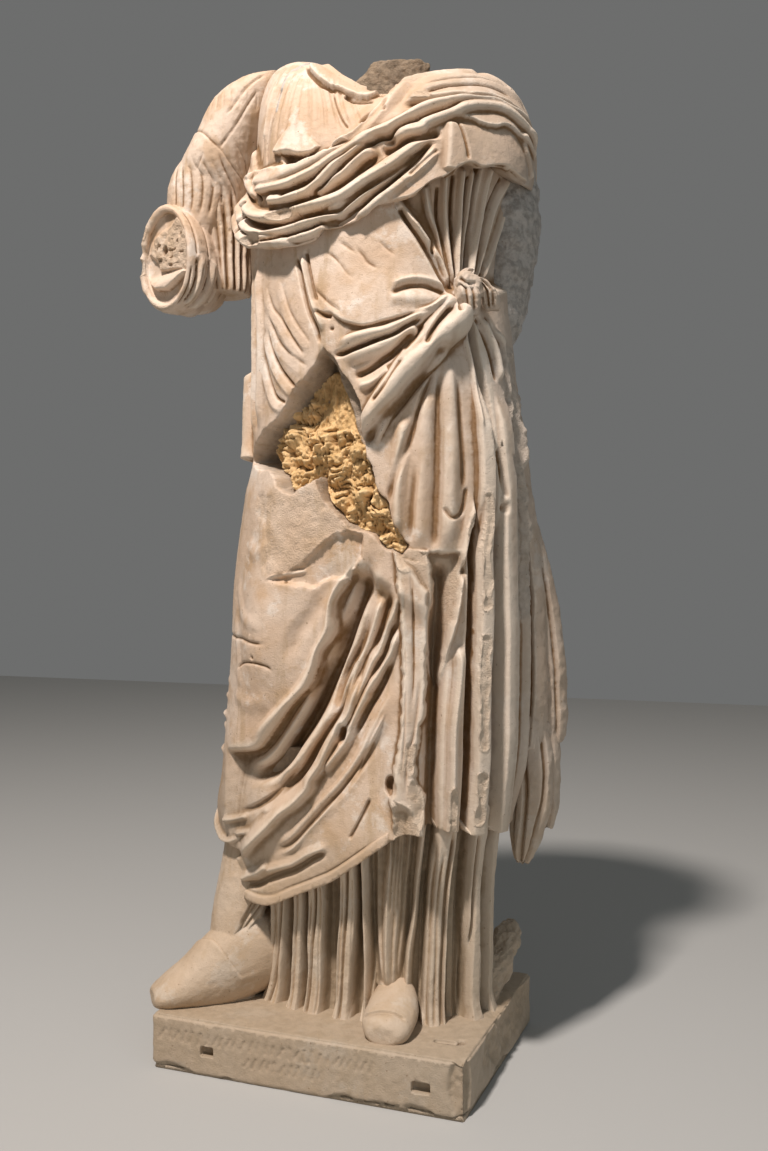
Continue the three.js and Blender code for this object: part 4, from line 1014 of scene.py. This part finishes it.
def limb_form(middle, half_widths, side, deep, blunt):
    """A rounded form along given middles: mark 0 to 1 along it, degrees round it from the front."""
    knots = np.linspace(0, 1, len(middle))
    side, deep = np.array(side, float), np.array(deep, float)
    lines = [list(zip(knots, column)) for column in (*zip(*middle), *zip(*half_widths))]

    def form(degrees, mark):
        degrees, mark = np.broadcast_arrays(np.asarray(degrees, float), np.asarray(mark, float))
        x, y, z, wide, thick = (through(line, mark) for line in lines)
        closing = np.maximum(1 - np.abs(2 * np.clip(mark, 0, 1) - 1)**blunt, 0)**(1 / blunt)
        turn = np.radians(degrees)
        return (np.stack([x, y, z], -1) + (wide * closing * np.sin(turn))[..., None] * side
                - (thick * closing * np.cos(turn))[..., None] * deep)
    return form


def limb(middle, half_widths, side, deep, rows, turns, blunt=10):
    """Such a form laid out for carving, with closer rows where its ends round over."""
    closing = np.linspace(.985, max(.02, 10**(-13 / blunt)), 30 // STEP + 4)
    end = .5 * (1 - closing**blunt)**(1 / blunt)
    t = np.unique(np.r_[.5 - end, .5 + end, np.linspace(.5 - end[0], .5 + end[0], rows // STEP)])
    form = limb_form(middle, half_widths, side, deep, blunt)
    return Carving(form, np.linspace(-180, 180, turns // STEP, endpoint=False), t, .07)


def join_stone(name, blocks, faces):
    """Joins closed blocks into one closed block."""
    whole = blocks[0]
    whole.name = name
    for part in blocks[1:]:
        modify(whole, "BOOLEAN", operation="UNION", solver="MANIFOLD", object=part)
        bpy.data.objects.remove(part)
    pare(whole, faces)
    return whole


def block_of(name, carving):
    """The closed block of a carving that goes round."""
    return stone_block(name, carving, carving.carved)


sleeve = limb([(-.108, .030, 1.805), (-.166, .018, 1.812), (-.206, .006, 1.782), (-.241, 0, 1.722),
               (-.276, -.006, 1.645), (-.284, .004, 1.579), (-.279, .010, 1.505), (-.271, .012, 1.415)],
              [(.056, .056), (.063, .062), (.071, .072), (.071, .080), (.076, .080), (.073, .068),
               (.062, .058), (.052, .052)],
              SIDEWAYS, BACKWARDS, rows=300, turns=300, blunt=14)
for width, depth, *line in (
        (.0030, .0045, -88, .430, -50, .455, -28, .479, -12, .504, 11, .539, 39, .602, 68, .659),
        (.003, .004, 16, .491, 36, .53, 59, .576), (.004, .004, -14, .54, -22, .62, -37, .727, -50, .78),
        (.004, .003, -45, .60, -55, .68, -66, .75), (.005, .004, 4, .19, -1, .343, -9, .42),
        (.005, .004, 20, .30, 15, .439, 3, .54), (.005, .005, 50, .32, 60, .44, 78, .56)):
    sleeve.furrow(width, depth, *line, section="sharp")
for k in range(11):
    at = -55 + 13 * k
    sleeve.furrow(.0035, .0022 + .001 * math.sin(2.3 * k), at - 22, .55 - .005 * k, at, .61, at + 16, .69,
                  at + 22, .76, ends=(.3, .3))
    sleeve.furrow(.003, .0018, at - 28, .28 + .01 * math.sin(4 * k), at - 12, .34, at, .40, ends=(.3, .3))
for start, top, end, foot, deep in (
        (15, .63, 14, .99, .007), (29, .64, 31, .99, .008), (43, .66, 46, .99, .009),
        (58, .67, 62, .99, .009), (74, .68, 80, .99, .008), (92, .68, 98, .99, .008),
        (112, .66, 116, .99, .008), (-2, .66, 4, .99, .004), (-18, .70, -10, .99, .004)):
    half, halfway = .5 * (start + end), .5 * (top + foot)
    sleeve.furrow(.0055, deep, start, top, half + 4, halfway, end, foot, ends=(.3, 0), section="soft")
    sleeve.fold(.009, .5 * deep, start - 7, top + .02, half - 3, halfway, end - 7, foot, ends=(.3, 0))
for at in (140, 165, -170, -145, -120, -100):
    sleeve.furrow(.007, .006, at, .35, at + 3, .6, at, .99, section="soft")
for at, mark in (
        (10, .805), (15, .83), (25, .82), (29, .86), (24, .89), (18, .79), (33, .91), (8, .84), (21, .77)):
    sleeve.pit(at, mark, .0025, .004, .0025, .7)
sleeve.finish(wear=.0006)
for at, mark in (
        (-30, .62), (-22, .70), (-8, .75), (3, .66), (10, .72), (12, .80), (20, .69), (24, .78),
        (31, .74), (-40, .50)):
    window, dip = sleeve.spot(at, mark, .003, .005, .6)
    sleeve.hollow[window] -= 3 * dip
elbow = limb([(-.250, .010, 1.72), (-.284, -.012, 1.64), (-.300, -.026, 1.575), (-.310, -.036, 1.51)],
             [(.062, .062), (.076, .068), (.066, .058), (.046, .044)], SIDEWAYS, BACKWARDS, rows=160,
             turns=200, blunt=6)
for k in range(7):
    at = -50 + 17 * k
    elbow.furrow(.004, .004, at - 14, .25 + .02 * k, at, .42 + .02 * k, at + 8, .62 + .02 * k, at + 10,
                 .82, ends=(.3, .3))
elbow.finish(wear=.0006)


def sleeve_end(degrees, mark):
    """The sleeve's rolled end: degrees go round its face like a clock, mark 1 is its rim, 2 its middle."""
    degrees, mark = np.broadcast_arrays(np.asarray(degrees, float), np.asarray(mark, float))
    turn = np.radians(degrees)
    reach = through([(0, .80), (.5, .98), (.8, 1.04), (.97, 1.0), (1.05, .94), (1.12, .86), (1.22, .82),
                     (1.98, .01)],
                    mark)
    along = through([(0, -.125), (.5, -.065), (.9, -.010), (1.0, -.001), (1.06, .001), (1.12, -.005),
                     (1.22, -.040), (1.98, -.044)],
                    mark)
    hang = .006 * np.cos(turn)
    lean = through([(0, 0), (.5, .004), (1, 0), (1.98, 0)], mark)
    return (STUMP + along[..., None] * AHEAD + (.066 * reach * np.sin(turn) + lean)[..., None] * ACROSS
            + ((.098 + hang) * reach * np.cos(turn))[..., None] * UP)


rolled = Carving(sleeve_end, np.linspace(-180, 180, 420 // STEP, endpoint=False),
                 np.r_[np.linspace(0, 1, 110 // STEP), np.linspace(1, 1.98, 90 // STEP)[1:]], .08)
for width, depth, *line in (
        (.004, .004, 30, .90, 60, .87, 90, .86), (.005, .011, 90, .86, 115, .85, 150, .88),
        (.004, .004, 40, .70, 65, .66, 90, .64), (.005, .012, 88, .64, 125, .66, 160, .76),
        (.004, .004, 45, .46, 70, .42, 95, .40), (.005, .012, 90, .41, 130, .44, 165, .58),
        (.004, .006, 55, .25, 80, .20, 105, .20, 140, .28), (.003, .005, 100, .96, 130, .95, 160, .95),
        (.003, .006, 95, .76, 130, .77, 160, .83), (.003, .006, 95, .53, 130, .55, 160, .66)):
    rolled.furrow(width, depth, *line, section="soft")
for width, rise, *line in (
        (.007, .004, 85, .76, 120, .78, 155, .86), (.008, .005, 85, .53, 128, .57, 162, .70),
        (.010, .005, -75, 1.03, -50, 1.03, -25, 1.03, 0, 1.03, 20, 1.0),
        (.009, .003, -130, 1.0, -100, 1.02, -75, 1.02), (.006, .004, -60, .7, -30, .7, 0, .68)):
    rolled.fold(width, rise, *line, ends=(.15, .15), section="full")
for width, level, *line in (
        (.006, .001, 165, 1.03, 195, 1.03), (.005, .002, 205, 1.04, 225, 1.03),
        (.004, .006, -60, 1.05, -45, 1.05), (.005, -.003, -98, 1.05, -88, 1.05)):
    rolled.knocked_off(width, level, *line)
rolled.finish(wear=.0007)


def flat_end(across, height):
    """The plane of the break: metres across it and up it from its middle."""
    across, height = np.broadcast_arrays(np.asarray(across, float), np.asarray(height, float))
    return STUMP + across[..., None] * ACROSS + height[..., None] * UP


turn = np.linspace(0, 2 * np.pi, 420 // STEP, endpoint=False)
ring = np.linspace(.99, .01, 90 // STEP)[:, None]
core = Carving(flat_end, CORE_WIDE * ring * np.sin(turn), CORE_TALL * ring * np.cos(turn), 180 / math.pi)
core.out = AHEAD + 0 * core.place
torn = core.within(.017, .070, .035, .084, .049, .079, .059, .056, .058, .009, .055, -.020, .043, -.024,
                   .017, -.021, -.019, -.018, -.028, .002, -.046, .020, -.041, .035, -.033, .049,
                   -.014, .058, .006, .065, soft=.005, jag=.002)
lip = core.within(-.050, .018, -.058, .004, -.054, -.018, -.043, -.038, -.023, -.052, .006, -.054,
                  .031, -.042, .055, -.026, .043, -.020, .017, -.018, -.019, -.014, -.028, .004,
                  soft=.003, jag=.0012)
bowl = -.012 + .019 * ease((-.012 - core.marks + .18 * core.degrees) / .034)
pocks = ease((unevenness(core.place, .0068, 3.3) - .42) / .2)
face = -.003 + .003 * broken_stone(core.place, .018, 3) - .0045 * pocks + .03 * core.degrees
level = -.009 + torn * (face + .009)
level += lip * (np.maximum(bowl, level * torn - .03 * (1 - torn)) - level)
window, dip = core.spot(-.003, .020, .0075, .0105, .5)
level[window] -= .022 * dip
level -= .012 * ease((np.hypot(core.degrees / CORE_WIDE, core.marks / CORE_TALL) - .95) / .04)
core.rough += torn * (1 - lip)
core.hollow = np.clip((softened(level, 9) - level) / .004, -1, 1)
front = core.place + core.out * level[..., None]
core_block = stone_block("core", core, np.concatenate([front[:1] - .05 * AHEAD, front]),
                         under=STUMP - .11 * AHEAD)
blocks = [block_of("sleeve", sleeve), block_of("elbow", elbow), block_of("rolled_end", rolled), core_block]
of_marble(join_stone("right_arm", blocks, 105000))

# Left arm, wrapped in the mantle and long broken away. Only the rough grey stub of it stands at her
# side, in one with the block, with a deep crack down its front.
stump = limb([(.270, .085, 1.66), (.278, .085, 1.60), (.286, .085, 1.52), (.282, .080, 1.43),
              (.268, .072, 1.35), (.258, .066, 1.285)],
             [(.050, .065), (.050, .072), (.050, .070), (.048, .064), (.042, .056), (.030, .04)],
             (1, 0, 0), (0, 1, 0), rows=200, turns=220, blunt=8)


def left_rough(carving, coarse, fine, shift):
    """Stone left as it broke: coarse lumps and fine chips, each a height and a size."""
    carving.ground += (coarse[0] * broken_stone(carving.place, coarse[1], 3)
                       + fine[0] * broken_stone(carving.place, fine[1], 3, shift))
    carving.rough += 1


left_rough(stump, (.008, .070), (.0022, .012), 5.0)
stump.furrow(.007, .012, -10, .02, -12, .25, -15, .45)
stump.grey += 1
stump.finish(wear=.0010)
of_marble(join_stone("left_arm_stump", [block_of("stump", stump)], 30000))

# Knot of the mantle on the left hip, carved in one with it: crumpled lobes of cloth pulled through
# each other, worn and pitted like the rest.
lobes = []
for middle, half_widths, side, deep, line in (
        ([(.244, -.112, 1.362), (.264, -.112, 1.359), (.284, -.100, 1.352)],
         [(.015, .017), (.021, .021), (.015, .015)], (0, .3, -.95), (0, .95, .3),
         (-40, .2, -10, .5, -30, .8)),
        ([(.258, -.110, 1.366), (.261, -.114, 1.338), (.264, -.104, 1.308)],
         [(.016, .014), (.021, .019), (.013, .012)], (1, 0, 0), (0, 1, 0), (-30, .1, 5, .4, -5, .9)),
        ([(.262, -.108, 1.385), (.252, -.112, 1.368), (.246, -.108, 1.35)],
         [(.010, .010), (.013, .012), (.010, .010)], (1, 0, 0), (0, 1, 0), (0, .1, 10, .5, 5, .9)),
        ([(.276, -.100, 1.37), (.290, -.085, 1.345), (.292, -.070, 1.32)],
         [(.013, .013), (.017, .017), (.013, .012)], (1, 0, 0), (0, 1, 0), (-20, .1, 0, .4, -30, .9))):
    lobe = limb(middle, half_widths, side, deep, rows=60, turns=90, blunt=5)
    lobe.furrow(.005, .007, *line, section="soft")
    lobe.furrow(.004, .005, *(np.reshape(line, (-1, 2)) + [38, 0]).ravel())
    lobe.ground += .0022 * broken_stone(lobe.place, .016, 3)
    lobe.finish(wear=.0006)
    lobes.append(block_of("lobe", lobe))
of_marble(join_stone("knot", lobes, 22000))

# Loose end of the mantle, hanging down from where the left arm was. Long folds one behind another,
# carved free of the body at the back of her left side, and ragged at the foot.
FALLS = [
    ([(.272, .050, 1.26), (.285, .060, 1.12), (.296, .072, .98), (.303, .080, .86), (.307, .084, .74),
      (.306, .088, .63), (.303, .088, .555)],
     [(.022, .05), (.028, .048), (.035, .046), (.041, .044), (.045, .042), (.046, .040), (.042, .036)], 2,
     .012),
    ([(.306, .108, 1.00), (.332, .126, .84), (.346, .134, .70), (.352, .136, .60), (.352, .136, .555)],
     [(.014, .024), (.026, .036), (.028, .036), (.026, .032), (.018, .024)], 2, .007),
    ([(.342, .146, .84), (.356, .150, .72), (.364, .150, .62), (.366, .150, .57)],
     [(.008, .020), (.010, .022), (.010, .022), (.006, .014)], 1, .003),
    ([(.300, .096, .64), (.311, .100, .56), (.316, .102, .47), (.310, .098, .39), (.303, .098, .338)],
     [(.034, .036), (.043, .038), (.041, .038), (.029, .034), (.014, .020)], 3, .009),
    ([(.336, .126, .60), (.343, .130, .52), (.343, .134, .45), (.338, .136, .40)],
     [(.022, .03), (.022, .032), (.020, .028), (.014, .020)], 2, .006)]
falls = []
for k, (middle, half_widths, pleats, rise) in enumerate(FALLS):
    fall = limb(middle, half_widths, (1, 0, 0), (0, 1, 0), rows=260, turns=200, blunt=20)
    for n in range(pleats):
        at = -60 + 130 * (n + .5) / pleats
        fall.furrow(.008, rise, at + 9, 0, at + 6 * math.sin(2 * n + k), .35, at - 4, .7,
                    at - 8 + 5 * math.sin(5 * n), 1, section="soft", ends=(.3 * (n % 2), 0))
    fall.ground += .0032 * broken_stone(fall.place, .060, 3, 2.0 * k)
    torn_away = unevenness(fall.place * [1, 1, 0], .018, 3.0 * k) > 0
    fall.ground -= .010 * ease((fall.marks - .90) / .10) * torn_away
    fall.finish(wear=.0008)
    falls.append(block_of("fall", fall))
of_marble(join_stone("hanging_cloth", falls, 66000))

# Feet, carved out from under the hem in thin soft shoes: the right one turned out to the side, and
# only the tip of the left one under the pleats.
foot = limb([(-.314, -.180, .108), (-.298, -.169, .113), (-.268, -.148, .125), (-.235, -.122, .142),
             (-.205, -.098, .160), (-.165, -.066, .175), (-.12, -.03, .180)],
            [(.042, .021), (.047, .030), (.050, .044), (.053, .066), (.056, .082), (.060, .085),
             (.06, .085)],
            (.66, -.75, 0), (0, 0, -1), rows=200, turns=200, blunt=3.6)
foot.edge(.0035, .05, .0012, 115, .76, 90, .68, 60, .60, 30, .54, 0, .48, -40, .45, -80, .47)
foot.furrow(.0035, .005, -75, .06, -60, .16, -30, .22, 0, .24)
for k in range(5):
    foot.furrow(.006, .004, -90, .66 + .05 * k, -40, .70 + .05 * k, 0, .74 + .05 * k, 50, .72 + .05 * k,
                section="soft")
foot.finish(wear=.0006)
ankle = limb([(-.192, -.084, .06), (-.198, -.086, .15), (-.194, -.072, .24), (-.180, -.050, .34),
              (-.176, -.04, .42)],
             [(.040, .030), (.046, .044), (.050, .056), (.054, .06), (.05, .06)], (.75, .66, 0),
             (-.66, .75, 0), rows=160, turns=160)
for k in range(7):
    ankle.furrow(.006, .008, -60 + 8 * k, .05 + .07 * k, -20 + 6 * k, .16 + .08 * k, 20 + 6 * k,
                 .22 + .10 * k, section="soft")
ankle.furrow(.010, .012, 62, .0, 60, .5, 55, .9, section="soft", ends=(0, .2))
ankle.finish(wear=.0006)
shoe = limb([(.137, -.196, .108), (.137, -.180, .113), (.135, -.157, .118), (.130, -.12, .125),
             (.12, -.07, .13)],
            [(.033, .020), (.041, .028), (.045, .032), (.046, .036), (.045, .05)], (1, 0, 0), (0, 0, -1),
            rows=110, turns=140, blunt=4)
shoe.furrow(.004, .004, -80, .34, -30, .28, 10, .30, 60, .36)
shoe.finish(wear=.0006)
of_marble(join_stone("feet", [block_of("foot", form) for form in (foot, ankle, shoe)], 48000))

# Neck: the head was made apart and is lost. Behind the hollow cut for it stands a wall of the same
# stone, left rough and stained brown.
neck = limb([(.036, .092, 1.66), (.036, .092, 1.73), (.040, .093, 1.785), (.052, .097, 1.82),
             (.064, .102, 1.850)],
            [(.095, .022), (.094, .022), (.088, .022), (.070, .022), (.055, .021)], SIDEWAYS, BACKWARDS,
            rows=130, turns=240, blunt=22)
left_rough(neck, (.004, .05), (.0022, .010), 7.0)
neck.brown += 1
neck.finish(wear=.0008)
of_marble(join_stone("neck_wall", [block_of("neck", neck)], 24000))

# Base block, one with the figure: a thick plinth, its edges worn, with two cramp holes in front, a
# notch on top, a chipped corner, a ragged underside and two rows of shallow worn strokes.
LENGTH, DEPTH, HEIGHT = .579, .437, .097
STANDING = .0008
bpy.ops.object.select_all(action="DESELECT")
bpy.ops.mesh.primitive_cube_add(size=1, location=(0, 0, HEIGHT / 2))
plinth = bpy.context.object
plinth.name = "plinth"
plinth.scale = (LENGTH, DEPTH, HEIGHT)
bpy.ops.object.transform_apply(location=True, rotation=False, scale=True)
modify(plinth, "BEVEL", width=.006, segments=3)
HOLES = [
    (-.179, -DEPTH / 2, .044, .024, .030, .015), (.213, -DEPTH / 2, .045, .031, .030, .016),
    (.235, -.150, HEIGHT, .040, .011, .010), (.258, -.142, HEIGHT, .012, .016, .022)]
for x, y, z, wide, deep, tall in HOLES:
    bpy.ops.mesh.primitive_cube_add(size=1, location=(x, y, z))
    hole = bpy.context.object
    hole.scale = (wide, deep, tall)
    bpy.ops.object.transform_apply(location=True, rotation=False, scale=True)
    modify(plinth, "BOOLEAN", operation="DIFFERENCE", solver="MANIFOLD", object=hole)
    bpy.data.objects.remove(hole)
modify(plinth, "REMESH", mode="VOXEL", voxel_size=.0026 * STEP)
count = len(plinth.data.vertices)
place, normal = np.empty(3 * count), np.empty(3 * count)
plinth.data.vertices.foreach_get("co", place)
plinth.data.vertices.foreach_get("normal", normal)
place, normal = place.reshape(-1, 3), normal.reshape(-1, 3)
x, z = place[:, 0], place[:, 2]
worn = .0007 * broken_stone(place, .04, 3) + .0004 * broken_stone(place, .007, 2) - .0010
underside = .008 + .012 * unevenness(place, .09) + .005 * unevenness(place, .02, 2)
ragged = ease((underside - z) / .006) * (z > STANDING)
on_front, on_side = ease((-normal[:, 1] - .3) / .4), ease((np.abs(normal[:, 0]) - .3) / .4)
worn -= ragged * (on_front + on_side) * (.005 + .003 * broken_stone(place, .02, 3))
edge_on = ease((normal[:, 2] - .2) / .2) * ease((.95 - normal[:, 2]) / .1)
worn -= edge_on * (.0015 + .002 * np.maximum(unevenness(place, .03), 0))
corner = np.linalg.norm((place - [LENGTH / 2, -DEPTH / 2, .055]) * [1, 1, .55], axis=1)
worn -= ease((.034 - corner) / .008) * (.007 + .002 * broken_stone(place, .02, 3))
rear = np.linalg.norm((place - [LENGTH / 2, .05, .06]) * [1, .25, .9], axis=1)
worn -= ease((.05 - rear) / .02) * .006 * (1 + broken_stone(place, .03, 3))


def strokes(start, end, middle, tall, seed):
    """Shallow worn strokes side by side in a row, none touching another, in no script."""
    rng = np.random.default_rng(seed)
    cuts, at = [], start
    while at < end:
        slant = rng.uniform(.10, .50) * tall
        half = rng.uniform(.28, .5) * tall
        cuts.append((at - slant / 2, middle - half, at + slant / 2, middle + half))
        at += rng.uniform(.0105, .0165)
    return cuts


for x0, z0, x1, z1 in strokes(-.268, .137, .064, .020, 4) + strokes(-.102, .048, .036, .018, 9):
    along = np.clip(((x - x0) * (x1 - x0) + (z - z0) * (z1 - z0)) / ((x1 - x0)**2 + (z1 - z0)**2), 0, 1)
    away = np.hypot(x - x0 - along * (x1 - x0), z - z0 - along * (z1 - z0))
    worn -= .0019 * ease((.0030 - away) / .0020) * on_front
place = place + normal * np.where(z < STANDING, 0, worn)[:, None]
place[:, 2] = np.maximum(place[:, 2], 0)
plinth.data.vertices.foreach_set("co", place.ravel())
on_top = ease((normal[:, 2] - .5) / .3)
# dirt and painted shade in the worn-in strokes, chips and ragged underside, through the hollow mark
worn_dirt_and_shade = .45 * np.clip(-worn / .004 - .4, 0, 1)
mark_finish(plinth.data, {"hollow": worn_dirt_and_shade, "rough": ease(ragged), "grey": .25 + .2 * ragged,
                          "brown": .40 + .30 * on_top})
lump = limb([(.232, .075, .085), (.250, .100, .150), (.262, .128, .190), (.262, .150, .215)],
            [(.030, .055), (.034, .052), (.026, .040), (.012, .02)], (1, 0, 0), (0, 1, 0), rows=110,
            turns=150, blunt=6)
left_rough(lump, (.006, .04), (.003, .012), 4.0)
lump.grey += .3
lump.finish()
of_marble(join_stone("plinth", [plinth, block_of("lump", lump)], 92000))

# Mortar of the old repair: sandy ochre fill, pressed by hand into the broken right hip in clods on
# clods, with painted shade dark down between them, and drawn into streaks where it ran down.
fill = Carving(bare_form, np.arange(-58, 50, .30 * STEP), np.arange(.875, 1.250, .0015 * STEP), .25)
fill.out = -np.cross(np.gradient(fill.place, axis=0), np.gradient(fill.place, axis=1))
fill.out /= np.linalg.norm(fill.out, axis=-1, keepdims=True)
inside = fill.within(-6, 1.226, -11, 1.222, -20, 1.196, -30, 1.168, -40, 1.142, -50, 1.118, -52, 1.09,
                     -44, 1.062, -32, 1.05, -28, 1.03, -22, 1.012, -15, 1.022, -8, 1.034, -6, 1.015,
                     -2, .993, 5, .967, 11, .948, 23, .933, 27, .912, 35, .903, 39, .918, 35, .945,
                     31, .965, 28.5, 1.0, 24, 1.012, 22.5, 1.035, 20, 1.058, 18.5, 1.09, 15, 1.118,
                     11, 1.147, 8, 1.17, 6, 1.19, 1.5, 1.218, soft=.006, jag=.002)
level = (-.044 + .032 * ease((fill.degrees + 12) / 34) - .008 * ease((fill.marks - 1.10) / .07)
         + .012 * ease((-fill.degrees - 15) / 20))
warped = fill.place + .007 * np.stack([unevenness(fill.place, .022, 2.2 * k) for k in range(3)], -1)
clods = sum(height * (np.abs(unevenness(warped, size, 3.3 * k)) - .35) for k,
            (size, height) in enumerate(((.040, .026), (.020, .016), (.0095, .0115), (.0045, .0055))))
streaks = (-.006 + .004 * unevenness(fill.place * [1, 1, .22], .009)
           + .003 * broken_stone(fill.place * [1, 1, .4], .006, 2))
column = fill.within(-12, 1.23, -14, 1.13, 10, 1.12, 10, 1.20, 0, 1.235, soft=.008)
surface = level + clods * (1 - column) + streaks * column + .0022 * broken_stone(fill.place, .007, 3)
front = -.088 + (surface + .088) * inside
fill.hollow = np.clip((softened(front, 10) - front) / .005, -1, 1)


def closed_sheet(name, carving, front, behind):
    """A closed slab between a carved face and a plain one behind it."""
    faces = [carving.place + carving.out * level[..., None] for level in (front, behind)]
    points = np.concatenate([face.reshape(-1, 3) for face in faces])
    rows, columns = carving.degrees.shape
    number = np.arange(rows * columns).reshape(rows, columns)
    back = number + rows * columns
    quads = [np.stack([number[:-1, :-1], number[:-1, 1:], number[1:, 1:], number[1:, :-1]], -1),
             np.stack([back[:-1, :-1], back[1:, :-1], back[1:, 1:], back[:-1, 1:]], -1)]
    quads = [face.reshape(-1, 4) for face in quads]
    for near, far in (
            (number[0], back[0]), (back[-1], number[-1]), (back[:, 0], number[:, 0]),
            (number[:, -1], back[:, -1])):
        quads.append(np.stack([near[:-1], far[:-1], far[1:], near[1:]], -1))
    mesh = bpy.data.meshes.new(name)
    mesh.from_pydata(points.tolist(), [], np.vstack(quads).tolist())
    mark_finish(mesh, {mark: np.tile(getattr(carving, mark).ravel(), 2) for mark in MARKS})
    sheet = bpy.data.objects.new(name, mesh)
    bpy.context.collection.objects.link(sheet)
    return sheet


mortar = closed_sheet("repair_fill", fill, front, np.minimum(front - .006, -.095))
pare(mortar, 96000)
ochre, start, place, surface = new_material("ochre_mortar", .9, .2)
hollow = start.node("Attribute", {"attribute_name": "hollow"}, 2)
sand, shades = grain_of(place, 500, 3, .6), grain_of(place, 40, 4)
colour = shades.between(.35, .65).blend((.51, .33, .145), (.70, .475, .235))
colour = ((0 - hollow).between(.1, .9) * .5).blend(colour, (.80, .61, .35))
# painted shade: dark brown down between the clods
colour = (hollow.between(.1, .9) * .9).blend(colour, (.17, .085, .025))
coat(surface, colour, sand + shades * .6, .0012)
mortar.data.materials.append(ochre)
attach(mortar, "root")
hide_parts("repair_mortar")

# Studio: a pale matt floor, one warm lamp high in front, and weak cool light from the right. The
# camera looks level from about half her height, a little to the right of her front.
bpy.ops.mesh.primitive_plane_add(size=12, location=(0, 0, 0))
floor = bpy.context.object
floor.name = "floor"
paint, *_, surface = new_material("floor_paint", .8, .5)
surface.inputs["Base Color"].default_value = (.42, .42, .40, 1)
floor.data.materials.append(paint)
LAMPS = [
    ("key", (-.20, -2.65, 5.20), (0, 0, 1.1), .42, 372, (1, .915, .875)),
    ("fill", (2.6, -2.2, 1.8), (0, 0, 1), 2.5, 16, (.76, .88, 1))]
for name, spot, aim, size, power, tint in LAMPS:
    bpy.ops.object.light_add(type="AREA", location=spot)
    lamp = bpy.context.object
    lamp.name = name
    lamp.data.size, lamp.data.energy, lamp.data.color = size, power, tint
    away = np.array(aim, float) - spot
    lamp.rotation_euler = (math.acos(-away[2] / np.linalg.norm(away)), 0, math.atan2(-away[0], away[1]))
world = bpy.data.worlds.new("studio")
bpy.context.scene.world = world
world.use_nodes = True
world.node_tree.nodes["Background"].inputs["Color"].default_value = (.17, .172, .17, 1)
world.node_tree.nodes["Background"].inputs["Strength"].default_value = .9
EYE, FACING, SENSOR, ZOOM = (.8047, -1.9274, .869), 20.95, 36, .9774
bpy.ops.object.camera_add(location=EYE, rotation=(math.pi / 2, 0, math.radians(FACING)))
camera = bpy.context.object
camera.name = "view"
camera.data.sensor_width = SENSOR
camera.data.lens = SENSOR * ZOOM
bpy.context.scene.camera = camera
bpy.context.scene.view_settings.view_transform = "Standard"
